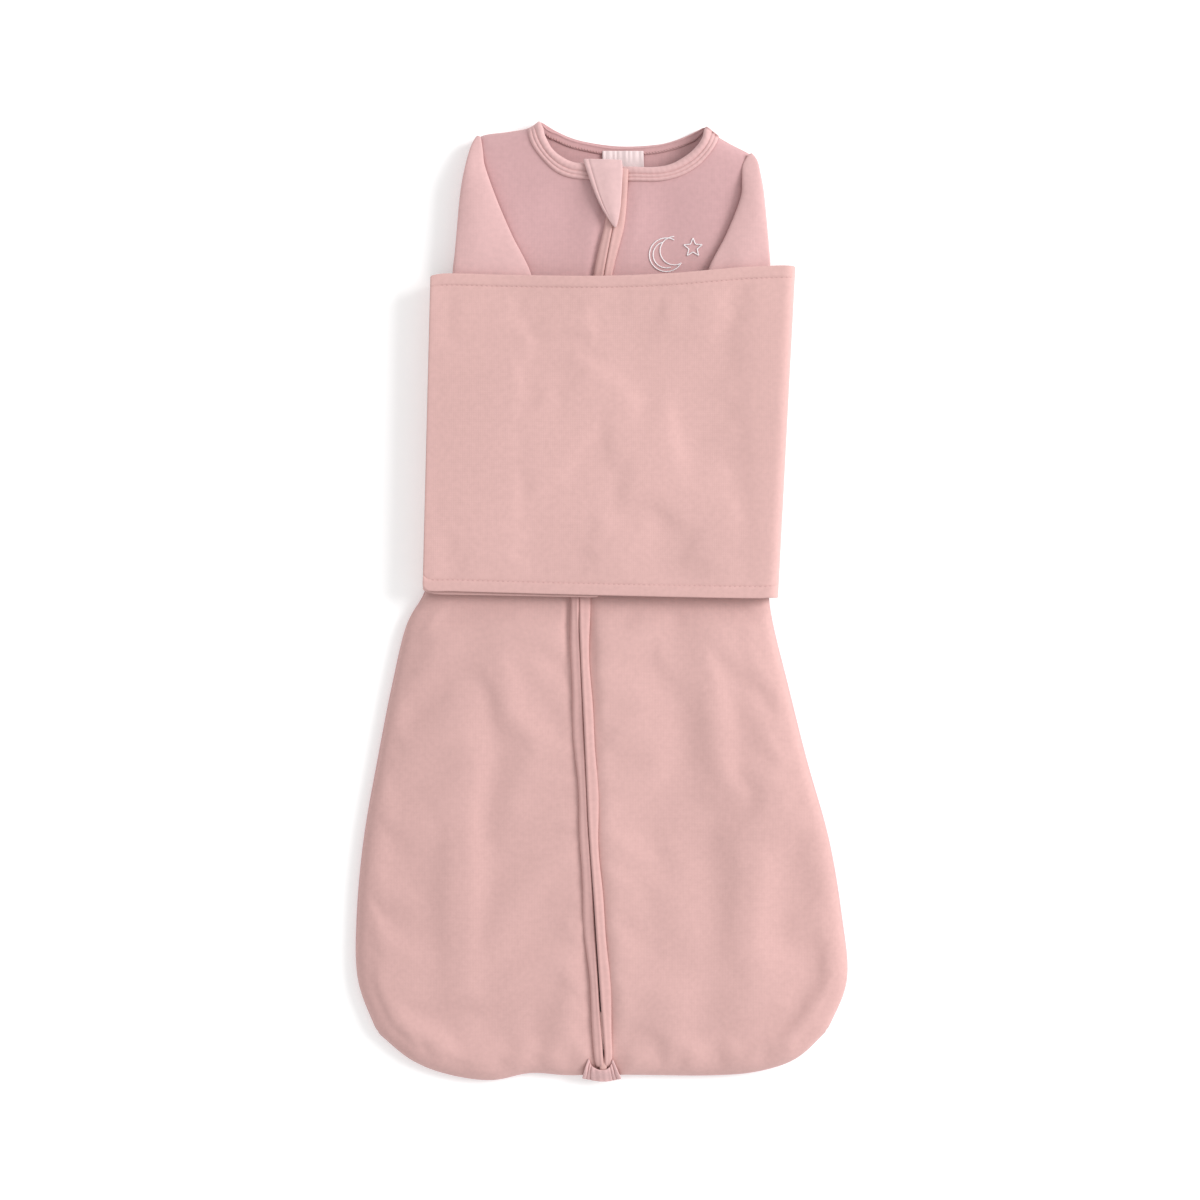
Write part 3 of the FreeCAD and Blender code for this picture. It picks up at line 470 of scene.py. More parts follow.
def front_panel(name, edges, seed):
    plan = panel_plan(*edges)
    middle = np.dstack([plan, front_height(plan, seed)])
    hold = 1 - ease(np.minimum(distance(plan, outline), distance(plan, zip_line)), 4, 16)
    held = np.maximum(hold, ease(plan[..., 1], -14, 4))
    settled = relaxed(middle, held, cap=1.8, slack=0.006)
    piece = cloth_piece(name, settled, JERSEY_THICK, rose_skirt)
    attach(piece, "bag")
    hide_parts(name)
    return piece


def zip_side(offset):
    """The zip's line moved sideways, as the inner edge of a front panel."""
    line = smooth_line(ZIP_LINE, even(132))
    run = np.gradient(line, axis=0)
    run /= np.linalg.norm(run, axis=1, keepdims=True)
    return line + offset * np.stack([run[:, 1], -run[:, 0]], -1)


right_top = joined(smooth_line(right_shoulder, even(24)), smooth_line(RIGHT_NECKLINE[::-1], even(30)))
right_top = right_top[np.unique(np.linspace(0, len(right_top) - 1, 42).astype(int))]
left_top = joined(smooth_line(LEFT_NECKLINE, even(30)), smooth_line(left_shoulder, even(24)))
left_top = left_top[np.unique(np.linspace(0, len(left_top) - 1, 42).astype(int))]
right_inner, left_inner = zip_side(-2.6), zip_side(2.6)
right_top[-1], right_inner[-1] = (8.4, 287), (8.4, 287)
left_top[0], left_inner[-1] = (13.6, 287), (13.6, 287)
RIGHT_HEM = [
    (-152, -292), (-129.5, -310.5), (-106, -320), (-75, -324.4), (-49, -319.4), (-24, -321), (-1.6, -321),
]
LEFT_HEM = [(3.6, -321), (30, -320.8), (75, -321), (104, -318.6), (130.5, -310), (151.5, -291)]
right_hem = smooth_line(RIGHT_HEM, even(len(right_top)))
left_hem = smooth_line(LEFT_HEM, even(len(left_top)))
right_inner[0], left_inner[0] = right_hem[-1], left_hem[0]
front_panel_right = front_panel(
    "front_panel_right", (right_hem, right_top, smooth_line(RIGHT_SIDE[::-1], even(132)), right_inner),
    RIGHT_FOLDS,
)
front_panel_left = front_panel(
    "front_panel_left", (left_hem, left_top, left_inner, smooth_line(LEFT_SIDE[::-1], even(132))),
    LEFT_FOLDS,
)

# ---------------------------------------------------------------------------------------
# Seams. The two layers are overlocked together down both sides, round the hem and along
# the shoulders, and turned right side out, which leaves a thin firm edge.


def swept(name, line, profile, material, soften=1):
    """A strip with that profile (across, up) carried along a line of places in space."""
    line = np.asarray(line, float)
    run = np.gradient(line, axis=0)
    run /= np.linalg.norm(run, axis=1, keepdims=True)
    across = np.cross(run, (0, 0, 1))
    across /= np.linalg.norm(across, axis=1, keepdims=True)
    up = np.cross(across, run)
    shape = np.array(profile, float)
    if shape.ndim == 2:
        shape = np.repeat(shape[None], len(line), 0)
    rings = line[:, None] + shape[..., :1] * across[:, None] + shape[..., 1:] * up[:, None]
    return ringed(name, rings, material, soften)


def ringed(name, rings, material, soften=1):
    """A closed skin over a row of rings, with both ends closed."""
    count, size = rings.shape[:2]
    faces = [
        (i * size + k, i * size + (k + 1) % size, (i + 1) * size + (k + 1) % size, (i + 1) * size + k)
        for i in range(count - 1)
        for k in range(size)
    ]
    faces += [tuple(range(size))[::-1], tuple(range((count - 1) * size, count * size))]
    piece = make_piece(name, rings.reshape(-1, 3), faces, material)
    return subdivided(piece, soften) if soften else piece


def oval(width, height, count=10):
    turns = np.arange(count) * 2 * math.pi / count
    return np.stack([np.cos(turns) * width / 2, np.sin(turns) * height / 2], -1)


def at_height(line, height):
    return np.column_stack([line, np.broadcast_to(height, len(line))])


rose = knit("rose_jersey", (0.69, 0.435, 0.430))
for name, line in (
    ("side_seam_right", right_side),
    ("side_seam_left", left_side),
    ("hem_seam", hem_line),
    ("shoulder_seam_right", right_shoulder),
    ("shoulder_seam_left", left_shoulder),
):
    seam = swept(name, at_height(line, seam_z), oval(1.8, 2.2), rose)
    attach(seam, "bag")
    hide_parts(name)

# ---------------------------------------------------------------------------------------
# Sleeves. Each is a double-walled tube of jersey set into its armhole, folded forward and
# pressed flat over the chest, with its end tucked under the band. A mitten cuff ends it.


def pressed_ring(points):
    """A ring between a circle and a rectangle, as a pressed tube has, within -1 to 1."""
    turns = np.arange(points) * 2 * math.pi / points
    flat_x = np.sign(np.cos(turns)) * np.abs(np.cos(turns)) ** 0.8
    flat_z = np.sign(np.sin(turns)) * np.abs(np.sin(turns)) ** 0.62
    return flat_x, flat_z


def sleeve_rings(outer, inner, shares, low, thick, inset=0.0, folds=1.0, seed=0, points=40):
    """Flattened rings of a sleeve between its outer and inner folded edges."""
    near, far = smooth_line(outer, shares), smooth_line(inner, shares)
    flat_x, flat_z = pressed_ring(points)
    middle, half = (near + far) / 2, (far - near) / 2
    length = np.linalg.norm(half, axis=1, keepdims=True)
    half = half * np.maximum(length - inset, 0.2) / length
    plan = middle[:, None] + half[:, None] * flat_x[None, :, None]
    swell = ease(np.asarray(shares), 0, 0.22)[:, None]
    tall = 1.3 + (thick / 2 - 1.3) * swell
    centre = low - 3.2 * (1 - swell) + tall
    z = centre + flat_z[None] * np.maximum(tall - inset, 0.3)
    crease = folds * swell * 0.45 * ripples(plan[..., 0], plan[..., 1], seed, 24, 120)
    z = z + crease * np.maximum(flat_z[None], 0)
    return np.dstack([plan, z])


sleeve_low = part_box("cuff_left")[0].z * 1000
RIGHT_SLEEVE_OUTER = [
    (-84.6, 314.2), (-88.2, 308.4), (-91.4, 298), (-95.6, 277),
    (-98.6, 246), (-101, 218), (-103, 190), (-104, 165),
]
RIGHT_SLEEVE_INNER = [
    (-82.2, 313), (-80.6, 303), (-79.6, 294), (-71.2, 270),
    (-61.1, 246.4), (-47.5, 218), (-45, 190), (-44.5, 165),
]
LEFT_SLEEVE_OUTER = [
    (100.6, 302.4), (104.6, 297), (106.6, 288), (108.6, 276),
    (111.2, 250), (113.4, 221), (114, 190), (113, 165),
]
LEFT_SLEEVE_INNER = [
    (98.4, 300.6), (94.6, 294), (94, 284), (93.2, 272),
    (83.8, 247.7), (70.6, 221), (64.5, 190), (62.6, 165),
]
SLEEVE_THICK, SLEEVE_WALL = 6.8, 0.9
# Down the outside of the cuff and up again inside it: how far down, and how far in.
CUFF_STEPS = [
    (0, 0), (1, -0.1), (7, 0.1), (14, 0.2), (21, 0.1), (27, 0), (28, 0.5), (27, 1.1), (14, 1.2), (1, 1.1),
]
CUFF_TOP, CUFF_POINTS, CUFF_RIBS = 165.4, 120, 30
for side, outer, inner, seed in (
    ("right", RIGHT_SLEEVE_OUTER, RIGHT_SLEEVE_INNER, 41),
    ("left", LEFT_SLEEVE_OUTER, LEFT_SLEEVE_INNER, 57),
):
    down, back_up = even(58), np.linspace(1, 0.05, 40)
    outside = sleeve_rings(outer, inner, down, sleeve_low, SLEEVE_THICK, seed=seed)
    inside = sleeve_rings(outer, inner, back_up, sleeve_low, SLEEVE_THICK, inset=SLEEVE_WALL, seed=seed)
    sleeve = ringed("sleeve_" + side, np.concatenate([outside, inside]), rose)
    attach(sleeve, "bag")
    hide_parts("sleeve_" + side)
    flat_x, flat_z = pressed_ring(CUFF_POINTS)
    rib = 1 - 0.05 * np.cos(np.arange(CUFF_POINTS) * 2 * math.pi / CUFF_POINTS * CUFF_RIBS)
    ends = np.array([outside[-1][0], outside[-1][20]])
    cuff_middle, cuff_half = ends.mean(0), (ends[0] - ends[1])[0] / 2 - 2.6
    rings = []
    for drop, inset in CUFF_STEPS:
        ring_x = cuff_middle[0] + (cuff_half - inset) * flat_x
        ring_z = sleeve_low + 3.4 + (3.0 - inset) * rib * flat_z
        rings.append(np.column_stack([ring_x, np.full(CUFF_POINTS, CUFF_TOP - drop), ring_z]))
    cuff = ringed("cuff_" + side, np.array(rings), rose, soften=1)
    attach(cuff, "bag")
    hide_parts("cuff_" + side)

# ---------------------------------------------------------------------------------------
# Neck binding. A folded strip of jersey sewn round the front neckline with two rows of
# stitches, so that a full round edge and two narrow ridges show.

ROLL = [
    (0.0, -1.3), (0.03, 0.0), (0.1, 1.1), (0.22, 1.7), (0.34, 1.6), (0.44, 1.1), (0.5, 0.35), (0.55, 0.95),
    (0.62, 1.25), (0.7, 1.0), (0.75, 0.3), (0.8, 0.85), (0.87, 1.05), (0.94, 0.8), (1.0, -0.1),
]
NECK_EDGES = {
    "right": (
        [
            (8.6, 294), (-5, 294.6), (-12.7, 294.8), (-18.6, 295), (-26.2, 298.1),
            (-33.8, 304.1), (-38.8, 313), (-40.4, 319), (-42.6, 323.6),
        ],
        [
            (8.6, 283.4), (-3, 283.6), (-11.2, 283.9), (-22, 285.1), (-31.2, 288.9),
            (-38.8, 295.7), (-45.6, 304.1), (-49, 311), (-50, 318.2),
        ],
    ),
    "left": (
        [
            (13.4, 292.6), (20.6, 292.3), (34.1, 291.9), (45.6, 293.8), (55.7, 299.2),
            (63.6, 306), (67.9, 312.7), (68.6, 316.6), (69.9, 320.2),
        ],
        [
            (13.4, 283), (20.6, 282.8), (38.8, 282.9), (52.3, 286.2), (63.6, 292.5),
            (71.4, 300.4), (76, 307), (77.6, 310.6), (78.6, 313.4),
        ],
    ),
}
BINDING_THICK = 0.8
BINDING_STEPS = 64
for side, (inner, outer) in NECK_EDGES.items():
    shares = even(BINDING_STEPS)
    near, far = smooth_line(inner, shares), smooth_line(outer, shares)
    across = np.array([share for share, _ in ROLL])
    plan = near[:, None] + (far - near)[:, None] * across[None, :, None]
    ridge = np.array([height for _, height in ROLL])
    pucker = 0.12 * np.sin(np.arange(BINDING_STEPS) * 1.9)[:, None] * (ridge[None] > 0.5)
    lift = front_height(plan, RIGHT_FOLDS if side == "right" else LEFT_FOLDS)
    lift = lift[:, 7:8] * 0.5 + lift * 0.5
    middle = np.dstack([plan, lift + 0.75 + ridge[None] + pucker])
    if side == "left":
        middle = middle[::-1]
    binding = cloth_piece("neck_binding_" + side, middle[:, ::-1], BINDING_THICK, rose)
    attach(binding, "bag")
    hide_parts("neck_binding_" + side)

# ---------------------------------------------------------------------------------------
# Back neck tape. A strip sewn over the raw edge inside the back neckline, with a rolled
# upper edge and a row of overlock stitches below it.

# Across the tape from its top edge: share of its width, and height.
TAPE_ACROSS = [
    (0.0, -0.9), (0.05, 0.35), (0.13, 0.9), (0.22, 0.5), (0.3, 0.28), (0.6, 0.3), (0.85, 0.35),
    (0.95, 0.3), (1.0, -0.25),
]
TAPE_TOP = [
    (-41, 322.4), (-37.1, 319.3), (-30.4, 316.7), (-22, 312.9), (-13.5, 310.5), (6.7, 307),
    (25, 307.4), (39, 309), (52, 312.6), (63, 317.6), (68.6, 320),
]
NECK_TAPE_WIDTH, NECK_TAPE_THICK = 5.4, 0.7
tape_top = smooth_line(TAPE_TOP, even(90))
run = np.gradient(tape_top, axis=0)
run /= np.linalg.norm(run, axis=1, keepdims=True)
inward = np.stack([run[:, 1], -run[:, 0]], -1)
narrowed = np.clip(np.minimum(np.arange(90), 89 - np.arange(90)) / 9 + 0.3, 0, 1)
width = NECK_TAPE_WIDTH * narrowed
tape_steps = np.array([step for step, _ in TAPE_ACROSS])
plan = tape_top[:, None] + inward[:, None] * width[:, None, None] * tape_steps[None, :, None]
tape_heights = back_height(plan) + 0.85 + np.array([h for _, h in TAPE_ACROSS])[None]
middle = np.dstack([plan, tape_heights])
neck_tape = cloth_piece("neck_tape", middle, NECK_TAPE_THICK, rose_inside)
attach(neck_tape, "bag")
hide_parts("neck_tape")

two_tone = bpy.data.node_groups.new("two_tone", "ShaderNodeTree")
two_tone.interface.new_socket("Scale", in_out="INPUT", socket_type="NodeSocketFloat")
two_tone.interface.new_socket("Dark", in_out="INPUT", socket_type="NodeSocketColor")
two_tone.interface.new_socket("Light", in_out="INPUT", socket_type="NodeSocketColor")
two_tone.interface.new_socket("Colour", in_out="OUTPUT", socket_type="NodeSocketColor")
group_in = two_tone.nodes.new("NodeGroupInput")
group_out = two_tone.nodes.new("NodeGroupOutput")
place = two_tone.nodes.new("ShaderNodeTexCoord")
specks = add_node(two_tone, "ShaderNodeTexNoise", Detail=2)
tones = add_node(two_tone, "ShaderNodeMix", data_type="RGBA")
two_tone.links.new(place.outputs["Object"], specks.inputs["Vector"])
two_tone.links.new(group_in.outputs["Scale"], specks.inputs["Scale"])
two_tone.links.new(specks.outputs["Fac"], tones.inputs[0])
two_tone.links.new(group_in.outputs["Dark"], tones.inputs[6])
two_tone.links.new(group_in.outputs["Light"], tones.inputs[7])
two_tone.links.new(tones.outputs[2], group_out.inputs["Colour"])


def mottled(name, dark, light, scale, roughness):
    """A plain material whose colour drifts finely between two tones."""
    material = bpy.data.materials.new(name)
    material.use_nodes = True
    tree = material.node_tree
    shader = tree.nodes["Principled BSDF"]
    shader.inputs["Roughness"].default_value = roughness
    colours = tree.nodes.new("ShaderNodeGroup")
    colours.node_tree = two_tone
    colours.inputs["Scale"].default_value = scale
    colours.inputs["Dark"].default_value = (*dark, 1)
    colours.inputs["Light"].default_value = (*light, 1)
    tree.links.new(colours.outputs["Colour"], shader.inputs["Base Color"])
    return material


thread = mottled("thread", (0.55, 0.32, 0.31), (0.70, 0.45, 0.43), 900, 0.55)


def stitches(name, line, length, gap, width, material, slant=0.0):
    """A row of short sewn stitches along a line in space, each a small rounded bar."""
    line = np.asarray(line, float)
    steps = np.linalg.norm(np.diff(line, axis=0), axis=1)
    reach = np.concatenate([[0], np.cumsum(steps)])
    count = max(2, int(reach[-1] // (length + gap)))
    vertices, faces = [], []
    for k in range(count):
        at = (k + 0.5) * reach[-1] / count
        ends = [at - length / 2, at - length / 4, at + length / 4, at + length / 2]
        spine = np.stack([np.interp(ends, reach, line[:, axis]) for axis in range(3)], -1)
        run = spine[-1] - spine[0]
        run /= np.linalg.norm(run)
        side = np.cross(run, (0, 0, 1))
        side /= np.linalg.norm(side)
        tilt = side * slant * length
        for m, (size, rise) in enumerate(((0.35, -0.25), (1, 0.12), (1, 0.12), (0.35, -0.25))):
            centre = spine[m] + np.array([0, 0, rise * width * 1.4]) + tilt * (m - 1.5) / 3
            for turn in range(6):
                angle = turn * math.pi / 3
                offset = side * math.cos(angle) + np.array([0, 0, 1]) * math.sin(angle)
                vertices.append(centre + offset * width / 2 * size)
        first = k * 24
        for m in range(3):
            for turn in range(6):
                a, b = first + m * 6 + turn, first + m * 6 + (turn + 1) % 6
                faces.append((a, b, b + 6, a + 6))
        faces.append(tuple(range(first, first + 6)))
        faces.append(tuple(range(first + 18, first + 24)))
    return make_piece(name, vertices, faces, material)


row = np.dstack([plan, tape_heights])[4:-4, 6] + np.array([0, 0, 0.45])
tape_stitches = stitches("neck_tape_stitches", row, 1.5, 0.5, 0.5, thread, slant=0.9)
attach(tape_stitches, "bag")

# ---------------------------------------------------------------------------------------
# Neck label. A thin white ribbon without any print, doubled and sewn into the back neck
# tape, where the stitches gather it into little upright folds.

ribbon = bpy.data.materials.new("label_ribbon")
ribbon.use_nodes = True
ribbon_shader = ribbon.node_tree.nodes["Principled BSDF"]
ribbon_shader.inputs["Roughness"].default_value = 0.5
ribbon_shader.inputs["Sheen Weight"].default_value = 0.4
ribbon_weave = add_node(ribbon.node_tree, "ShaderNodeTexWave", Scale=420, Distortion=0.4)
ribbon_mix = add_node(ribbon.node_tree, "ShaderNodeMix", data_type="RGBA")
ribbon_mix.inputs[6].default_value = (0.83, 0.66, 0.66, 1)
ribbon_mix.inputs[7].default_value = (0.87, 0.72, 0.72, 1)
ribbon_bump = add_node(ribbon.node_tree, "ShaderNodeBump", Strength=0.3, Distance=0.0002)
ribbon_place = ribbon.node_tree.nodes.new("ShaderNodeTexCoord")
ribbon.node_tree.links.new(ribbon_place.outputs["Object"], ribbon_weave.inputs["Vector"])
ribbon.node_tree.links.new(ribbon_weave.outputs["Fac"], ribbon_mix.inputs[0])
ribbon.node_tree.links.new(ribbon_mix.outputs[2], ribbon_shader.inputs["Base Color"])
ribbon.node_tree.links.new(ribbon_weave.outputs["Fac"], ribbon_bump.inputs["Height"])
ribbon.node_tree.links.new(ribbon_bump.outputs["Normal"], ribbon_shader.inputs["Normal"])

RIBBON_THICK = 0.35
label_low, label_high = (corner * 1000 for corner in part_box("neck_label"))
label_x = np.linspace(label_low.x + 1.5, label_high.x - 0.5, 60)
label_y = np.linspace(label_high.y - 15.5, label_high.y - 0.5, 24)
x, y = np.meshgrid(label_x, label_y)
gather = ease(y, label_high.y - 10, label_high.y - 2)
x = x + gather * 0.5 * np.sin(x * 1.7)
droop = 0.9 * (1 - ease(y, label_high.y - 15, label_high.y - 4))
little_folds = gather * 0.2 * np.sin(x * 1.75 + 0.9 * np.sin(x * 0.7))
z = label_low.z + 0.75 - droop + little_folds + 0.2 * np.sin(x * 0.4 + 1)
neck_label = cloth_piece("neck_label", np.dstack([x, y, z]), RIBBON_THICK, ribbon)
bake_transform(neck_label)
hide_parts("neck_label")

# ---------------------------------------------------------------------------------------
# Zip. Woven tapes behind the front edges carry two rows of moulded coil teeth. Stops close
# both ends, and each of the two lacquered sliders has a pull on a bail.


def beside_zip(shares, offsets):
    """Places at those distances to the +X side of the zip's line."""
    line = smooth_line(ZIP_LINE, shares)
    run = np.gradient(line, axis=0)
    run /= np.linalg.norm(run, axis=1, keepdims=True)
    sideways = np.stack([run[:, 1], -run[:, 0]], -1)
    return line[:, None] + sideways[:, None] * np.asarray(offsets, float)[..., None]


tape_weave = knit("zip_tape_weave", (0.60, 0.355, 0.34), wale=520, depth=0.0002, sheen=0.05)
coil_nylon = mottled("coil_nylon", (0.68, 0.36, 0.33), (0.78, 0.46, 0.42), 700, 0.38)
lacquer = mottled("slider_lacquer", (0.64, 0.37, 0.34), (0.72, 0.45, 0.41), 260, 0.28)
lacquer.node_tree.nodes["Principled BSDF"].inputs["Coat Weight"].default_value = 0.5

ZIP_TAPE_THICK = 0.6
TEETH = 440
# One tooth of the coil, from the zip's middle outwards: reach, height and width.
TOOTH = [(0.0, 0.1, 0.28), (0.25, 0.42, 0.42), (1.4, 0.5, 0.36), (2.25, 0.3, 0.3)]
tape_middle = (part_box("zip_tape_left")[0].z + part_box("zip_tape_left")[1].z) * 500
coil_middle = (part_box("zip_coil_left")[0].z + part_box("zip_coil_left")[1].z) * 500
for side, sign in (("left", 1), ("right", -1)):
    across = np.sort(sign * np.array([0.75, 1.3, 2.4, 4, 7, 10, 12.4, 13]))
    plan = beside_zip(np.linspace(0.018, 0.992, 130), across[None, :])
    weave = 0.08 * np.sin(np.arange(130) * 2.1)[:, None] * np.ones(len(across))
    tape = cloth_piece("zip_tape_" + side, np.dstack([plan, tape_middle + weave]), ZIP_TAPE_THICK, tape_weave)
    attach(tape, "bag")
    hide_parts("zip_tape_" + side)
    vertices, faces = [], []
    spots = np.linspace(0.022, 0.988, TEETH)
    inner = beside_zip(spots, np.full((TEETH, 1), sign * 0.05))[:, 0]
    outer = beside_zip(spots, np.full((TEETH, 1), sign * 2.3))[:, 0]
    drift = (outer - inner) / np.linalg.norm(outer - inner, axis=1, keepdims=True)
    onward = np.stack([-drift[:, 1], drift[:, 0]], -1) * sign
    for k in range(TEETH):
        shift = onward[k] * 0.33 * sign
        for reach, low, wide in TOOTH:
            centre = inner[k] + drift[k] * reach + shift
            for turn in range(6):
                angle = turn * math.pi / 3
                spot = centre + onward[k] * math.cos(angle) * wide
                vertices.append((spot[0], spot[1], coil_middle + 0.2 + math.sin(angle) * (low + 0.25)))
        first = k * 24
        for m in range(3):
            for turn in range(6):
                a, b = first + m * 6 + turn, first + m * 6 + (turn + 1) % 6
                faces.append((a, b, b + 6, a + 6))
        faces += [tuple(range(first, first + 6)), tuple(range(first + 18, first + 24))]
    coil = make_piece("zip_coil_" + side, vertices, faces, coil_nylon)
    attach(coil, "bag")
    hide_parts("zip_coil_" + side)

for name in ("top_stops", "top_slider", "top_pull", "bottom_slider", "bottom_pull"):
    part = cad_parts[name]
    part.data.materials.clear()
    part.data.materials.append(lacquer)

stop_low, stop_high = (corner * 1000 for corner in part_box("bottom_stop"))
stop_spine = [
    (0.8, stop_high.y),
    (0.7, stop_low.y),
    (0.5, stop_low.y - 3),
    (0.5, stop_low.y - 5.6),
    (0.5, stop_low.y - 6.6),
]
stop_spine = at_height(np.array(stop_spine), coil_middle + 1.2)
stop_width = np.array([3.0, 3.6, 5.6, 5.2, 1.6])
stop_thick = np.array([1.8, 2.0, 2.6, 2.4, 0.8])
stop_shape = oval(1, 1, 12)[None] * np.stack([stop_width, stop_thick], -1)[:, None]
bottom_stop = swept("bottom_stop", stop_spine, stop_shape, lacquer, soften=2)
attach(bottom_stop, "bag")
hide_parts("bottom_stop")

# ---------------------------------------------------------------------------------------
# Zip lips. Each front edge is faced with a folded strip of jersey that rises towards the
# zip and rolls over a soft piping, so that only a narrow dark gap shows between them.

rose_lip = knit("rose_lip_jersey", (0.665, 0.405, 0.385))
LIP_THICK = 1.15
# The lip's section from its outer edge to the gap: distance from the zip's middle, and height.
LIP_SHAPE = [
    (6.5, -1.1), (6.9, -0.3), (7.05, 0.5), (6.7, 1.25), (6.0, 1.7), (5.0, 1.9), (4.0, 1.95), (3.1, 2.05),
    (2.3, 2.3), (1.7, 2.5), (1.2, 2.4), (0.85, 1.8), (0.8, 0.6),
]
for side, sign in (("left", 1), ("right", -1)):
    offsets = np.array([across for across, _ in LIP_SHAPE])
    heights = np.array([height for _, height in LIP_SHAPE])
    shares = np.linspace(0.012, 0.998, 190)
    level = smooth_line(ZIP_LINE, shares)[:, 1]
    wander = 0.8 * np.sin(level / 21 + sign) + 0.5 * np.sin(level / 10.3 + 2 * sign) - 0.6
    gap = -0.42 + 0.62 * (1 - ease(level, -318, -130))
    edge_share = (offsets / 7.0)[None]
    spread = offsets[None] + wander[:, None] * edge_share**2 + gap[:, None] * (1 - 0.6 * edge_share)
    places = sign * spread
    narrow = 1 - 0.25 * (1 - ease(level, -322, -302))
    plan = beside_zip(shares, places * narrow[:, None])
    base = front_height(plan[:, :1], LEFT_FOLDS if sign > 0 else RIGHT_FOLDS) + 0.6
    under_band = ease(level, -2, 6) * (1 - ease(level, 216, 226))
    base = np.minimum(base, np.where(under_band > 0, 12.6, 30)[:, None])
    crinkle = 0.12 * np.sin(level / 3.1)[:, None] * edge_share
    lift = base + heights[None] * (1 - 0.12 * under_band[:, None]) + crinkle
    sag = (1 - ease(level, -322, -308))[:, None] * 2.2
    middle = np.dstack([plan, lift - sag])
    if sign > 0:
        over_binding = ease(level, 272, 287)[:, None]
        middle[..., 1] += 4.2 * over_binding
        middle[..., 2] += 1.6 * over_binding
        middle = middle[:, ::-1]
    lip = cloth_piece("zip_lip_" + side, middle, LIP_THICK, rose_lip)
    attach(lip, "bag")
    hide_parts("zip_lip_" + side)

# ---------------------------------------------------------------------------------------
# Garage flap. A leaf of doubled jersey, turned out and pressed, with a corded edge on its
# curved side. It folds down from the neckline over the parked slider.

FLAP_LEFT = [
    (8.0, 251.4), (5.2, 255.4), (0.2, 263.3), (-4.1, 272.2), (-7.6, 281.3), (-10.6, 290), (-12.8, 296.8),
]
FLAP_RIGHT = [
    (8.9, 251.4), (10.2, 256), (11.8, 265.5), (12.7, 279), (13.2, 288), (13.0, 293.6), (12.6, 296.2),
]
# Across the flap from its corded edge: share of its width, and height.
FLAP_ACROSS = [
    (0, 0), (0.03, 0.5), (0.07, 0.6), (0.1, 0.25), (0.13, -0.1), (0.16, 0.3), (0.2, 0.42), (0.24, 0.3),
    (0.3, 0.28), (0.4, 0.36), (0.5, 0.45), (0.6, 0.5), (0.7, 0.5), (0.8, 0.42), (0.88, 0.3), (0.94, 0.3),
    (0.98, 0.2), (1, -0.2),
]
FLAP_THICK = 1.3
flap_left, flap_right = smooth_line(FLAP_LEFT, even(48)), smooth_line(FLAP_RIGHT, even(48))
shares = np.array([share for share, _ in FLAP_ACROSS])
cord = np.array([height for _, height in FLAP_ACROSS])
plan = flap_left[:, None] + (flap_right - flap_left)[:, None] * shares[None, :, None]
rise_up = ease(plan[..., 1], 250, 262)
flap_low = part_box("garage_flap")[0].z * 1000 + 0.8
hump = 0.9 * np.sin(np.clip(shares, 0, 1) * math.pi)[None] * rise_up
fold_over = ease(plan[..., 1], 288, 297)
z = flap_low + cord[None] * (0.35 + 0.65 * rise_up) + hump - 1.6 * fold_over**2 - 0.35 * (1 - rise_up)
rose_satin = knit("rose_flap_jersey", (0.71, 0.475, 0.472), wale=420, depth=0.0001, sheen=0.35)
garage_flap = cloth_piece("garage_flap", np.dstack([plan, z]), FLAP_THICK, rose_satin)
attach(garage_flap, "garage_flap")
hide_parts("garage_flap")

# ---------------------------------------------------------------------------------------
# Hem tab. A gathered scrap of jersey that wraps over the hem and closes the zip's end.

TAB_THICK = 1.2
TAB_TOP = [(-9.4, -309.5), (-7.6, -314), (-3.5, -316.6), (1.5, -317), (5, -315), (6.8, -310)]
TAB_END = [(-13.4, -323.4), (-6, -324.8), (0, -325.3), (6, -325), (12.4, -323.6)]
tab_plan = panel_plan(
    smooth_line(TAB_END, even(76)),
    smooth_line(TAB_TOP, even(76)),
    smooth_line([(-13.4, -323.4), (-11.6, -316), (-9.4, -309.5)], even(20)),
    smooth_line([(12.4, -323.6), (9.6, -316.5), (6.8, -310)], even(20)),
)
x, y = tab_plan[..., 0], tab_plan[..., 1]
fall = 1 - ease(y, -325, -315)
pleats = sum(np.exp(-(((even(76) - place) / 0.03) ** 2)) for place in (0.1, 0.2, 0.79, 0.9))
over_stop = 0.9 * np.exp(-((x / 4.5) ** 2))
z = 14.2 - 6.5 * fall**1.5 - 1.3 * pleats[None] + 0.15 * np.sin(x * 1.5 + y * 0.2) + over_stop
hem_tab = cloth_piece("hem_tab", np.dstack([x, y, z]), TAB_THICK, rose)
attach(hem_tab, "bag")
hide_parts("hem_tab")

# ---------------------------------------------------------------------------------------
# Chest embroidery. A crescent moon and a small star, each a double outline of white
# satin stitches on the wearer's left.

white_thread = mottled("white_thread", (0.90, 0.82, 0.84), (0.99, 0.95, 0.97), 1200, 0.4)


def on_chest(line):
    """The same line lifted onto the front panel."""
    return at_height(line, front_height(line[None], LEFT_FOLDS)[0] + 0.75)


def arc_points(centre, radius, start, end, count):
    turns = np.radians(np.linspace(start, end, count))
    return np.stack([centre[0] + radius * np.cos(turns), centre[1] + radius * np.sin(turns)], -1)


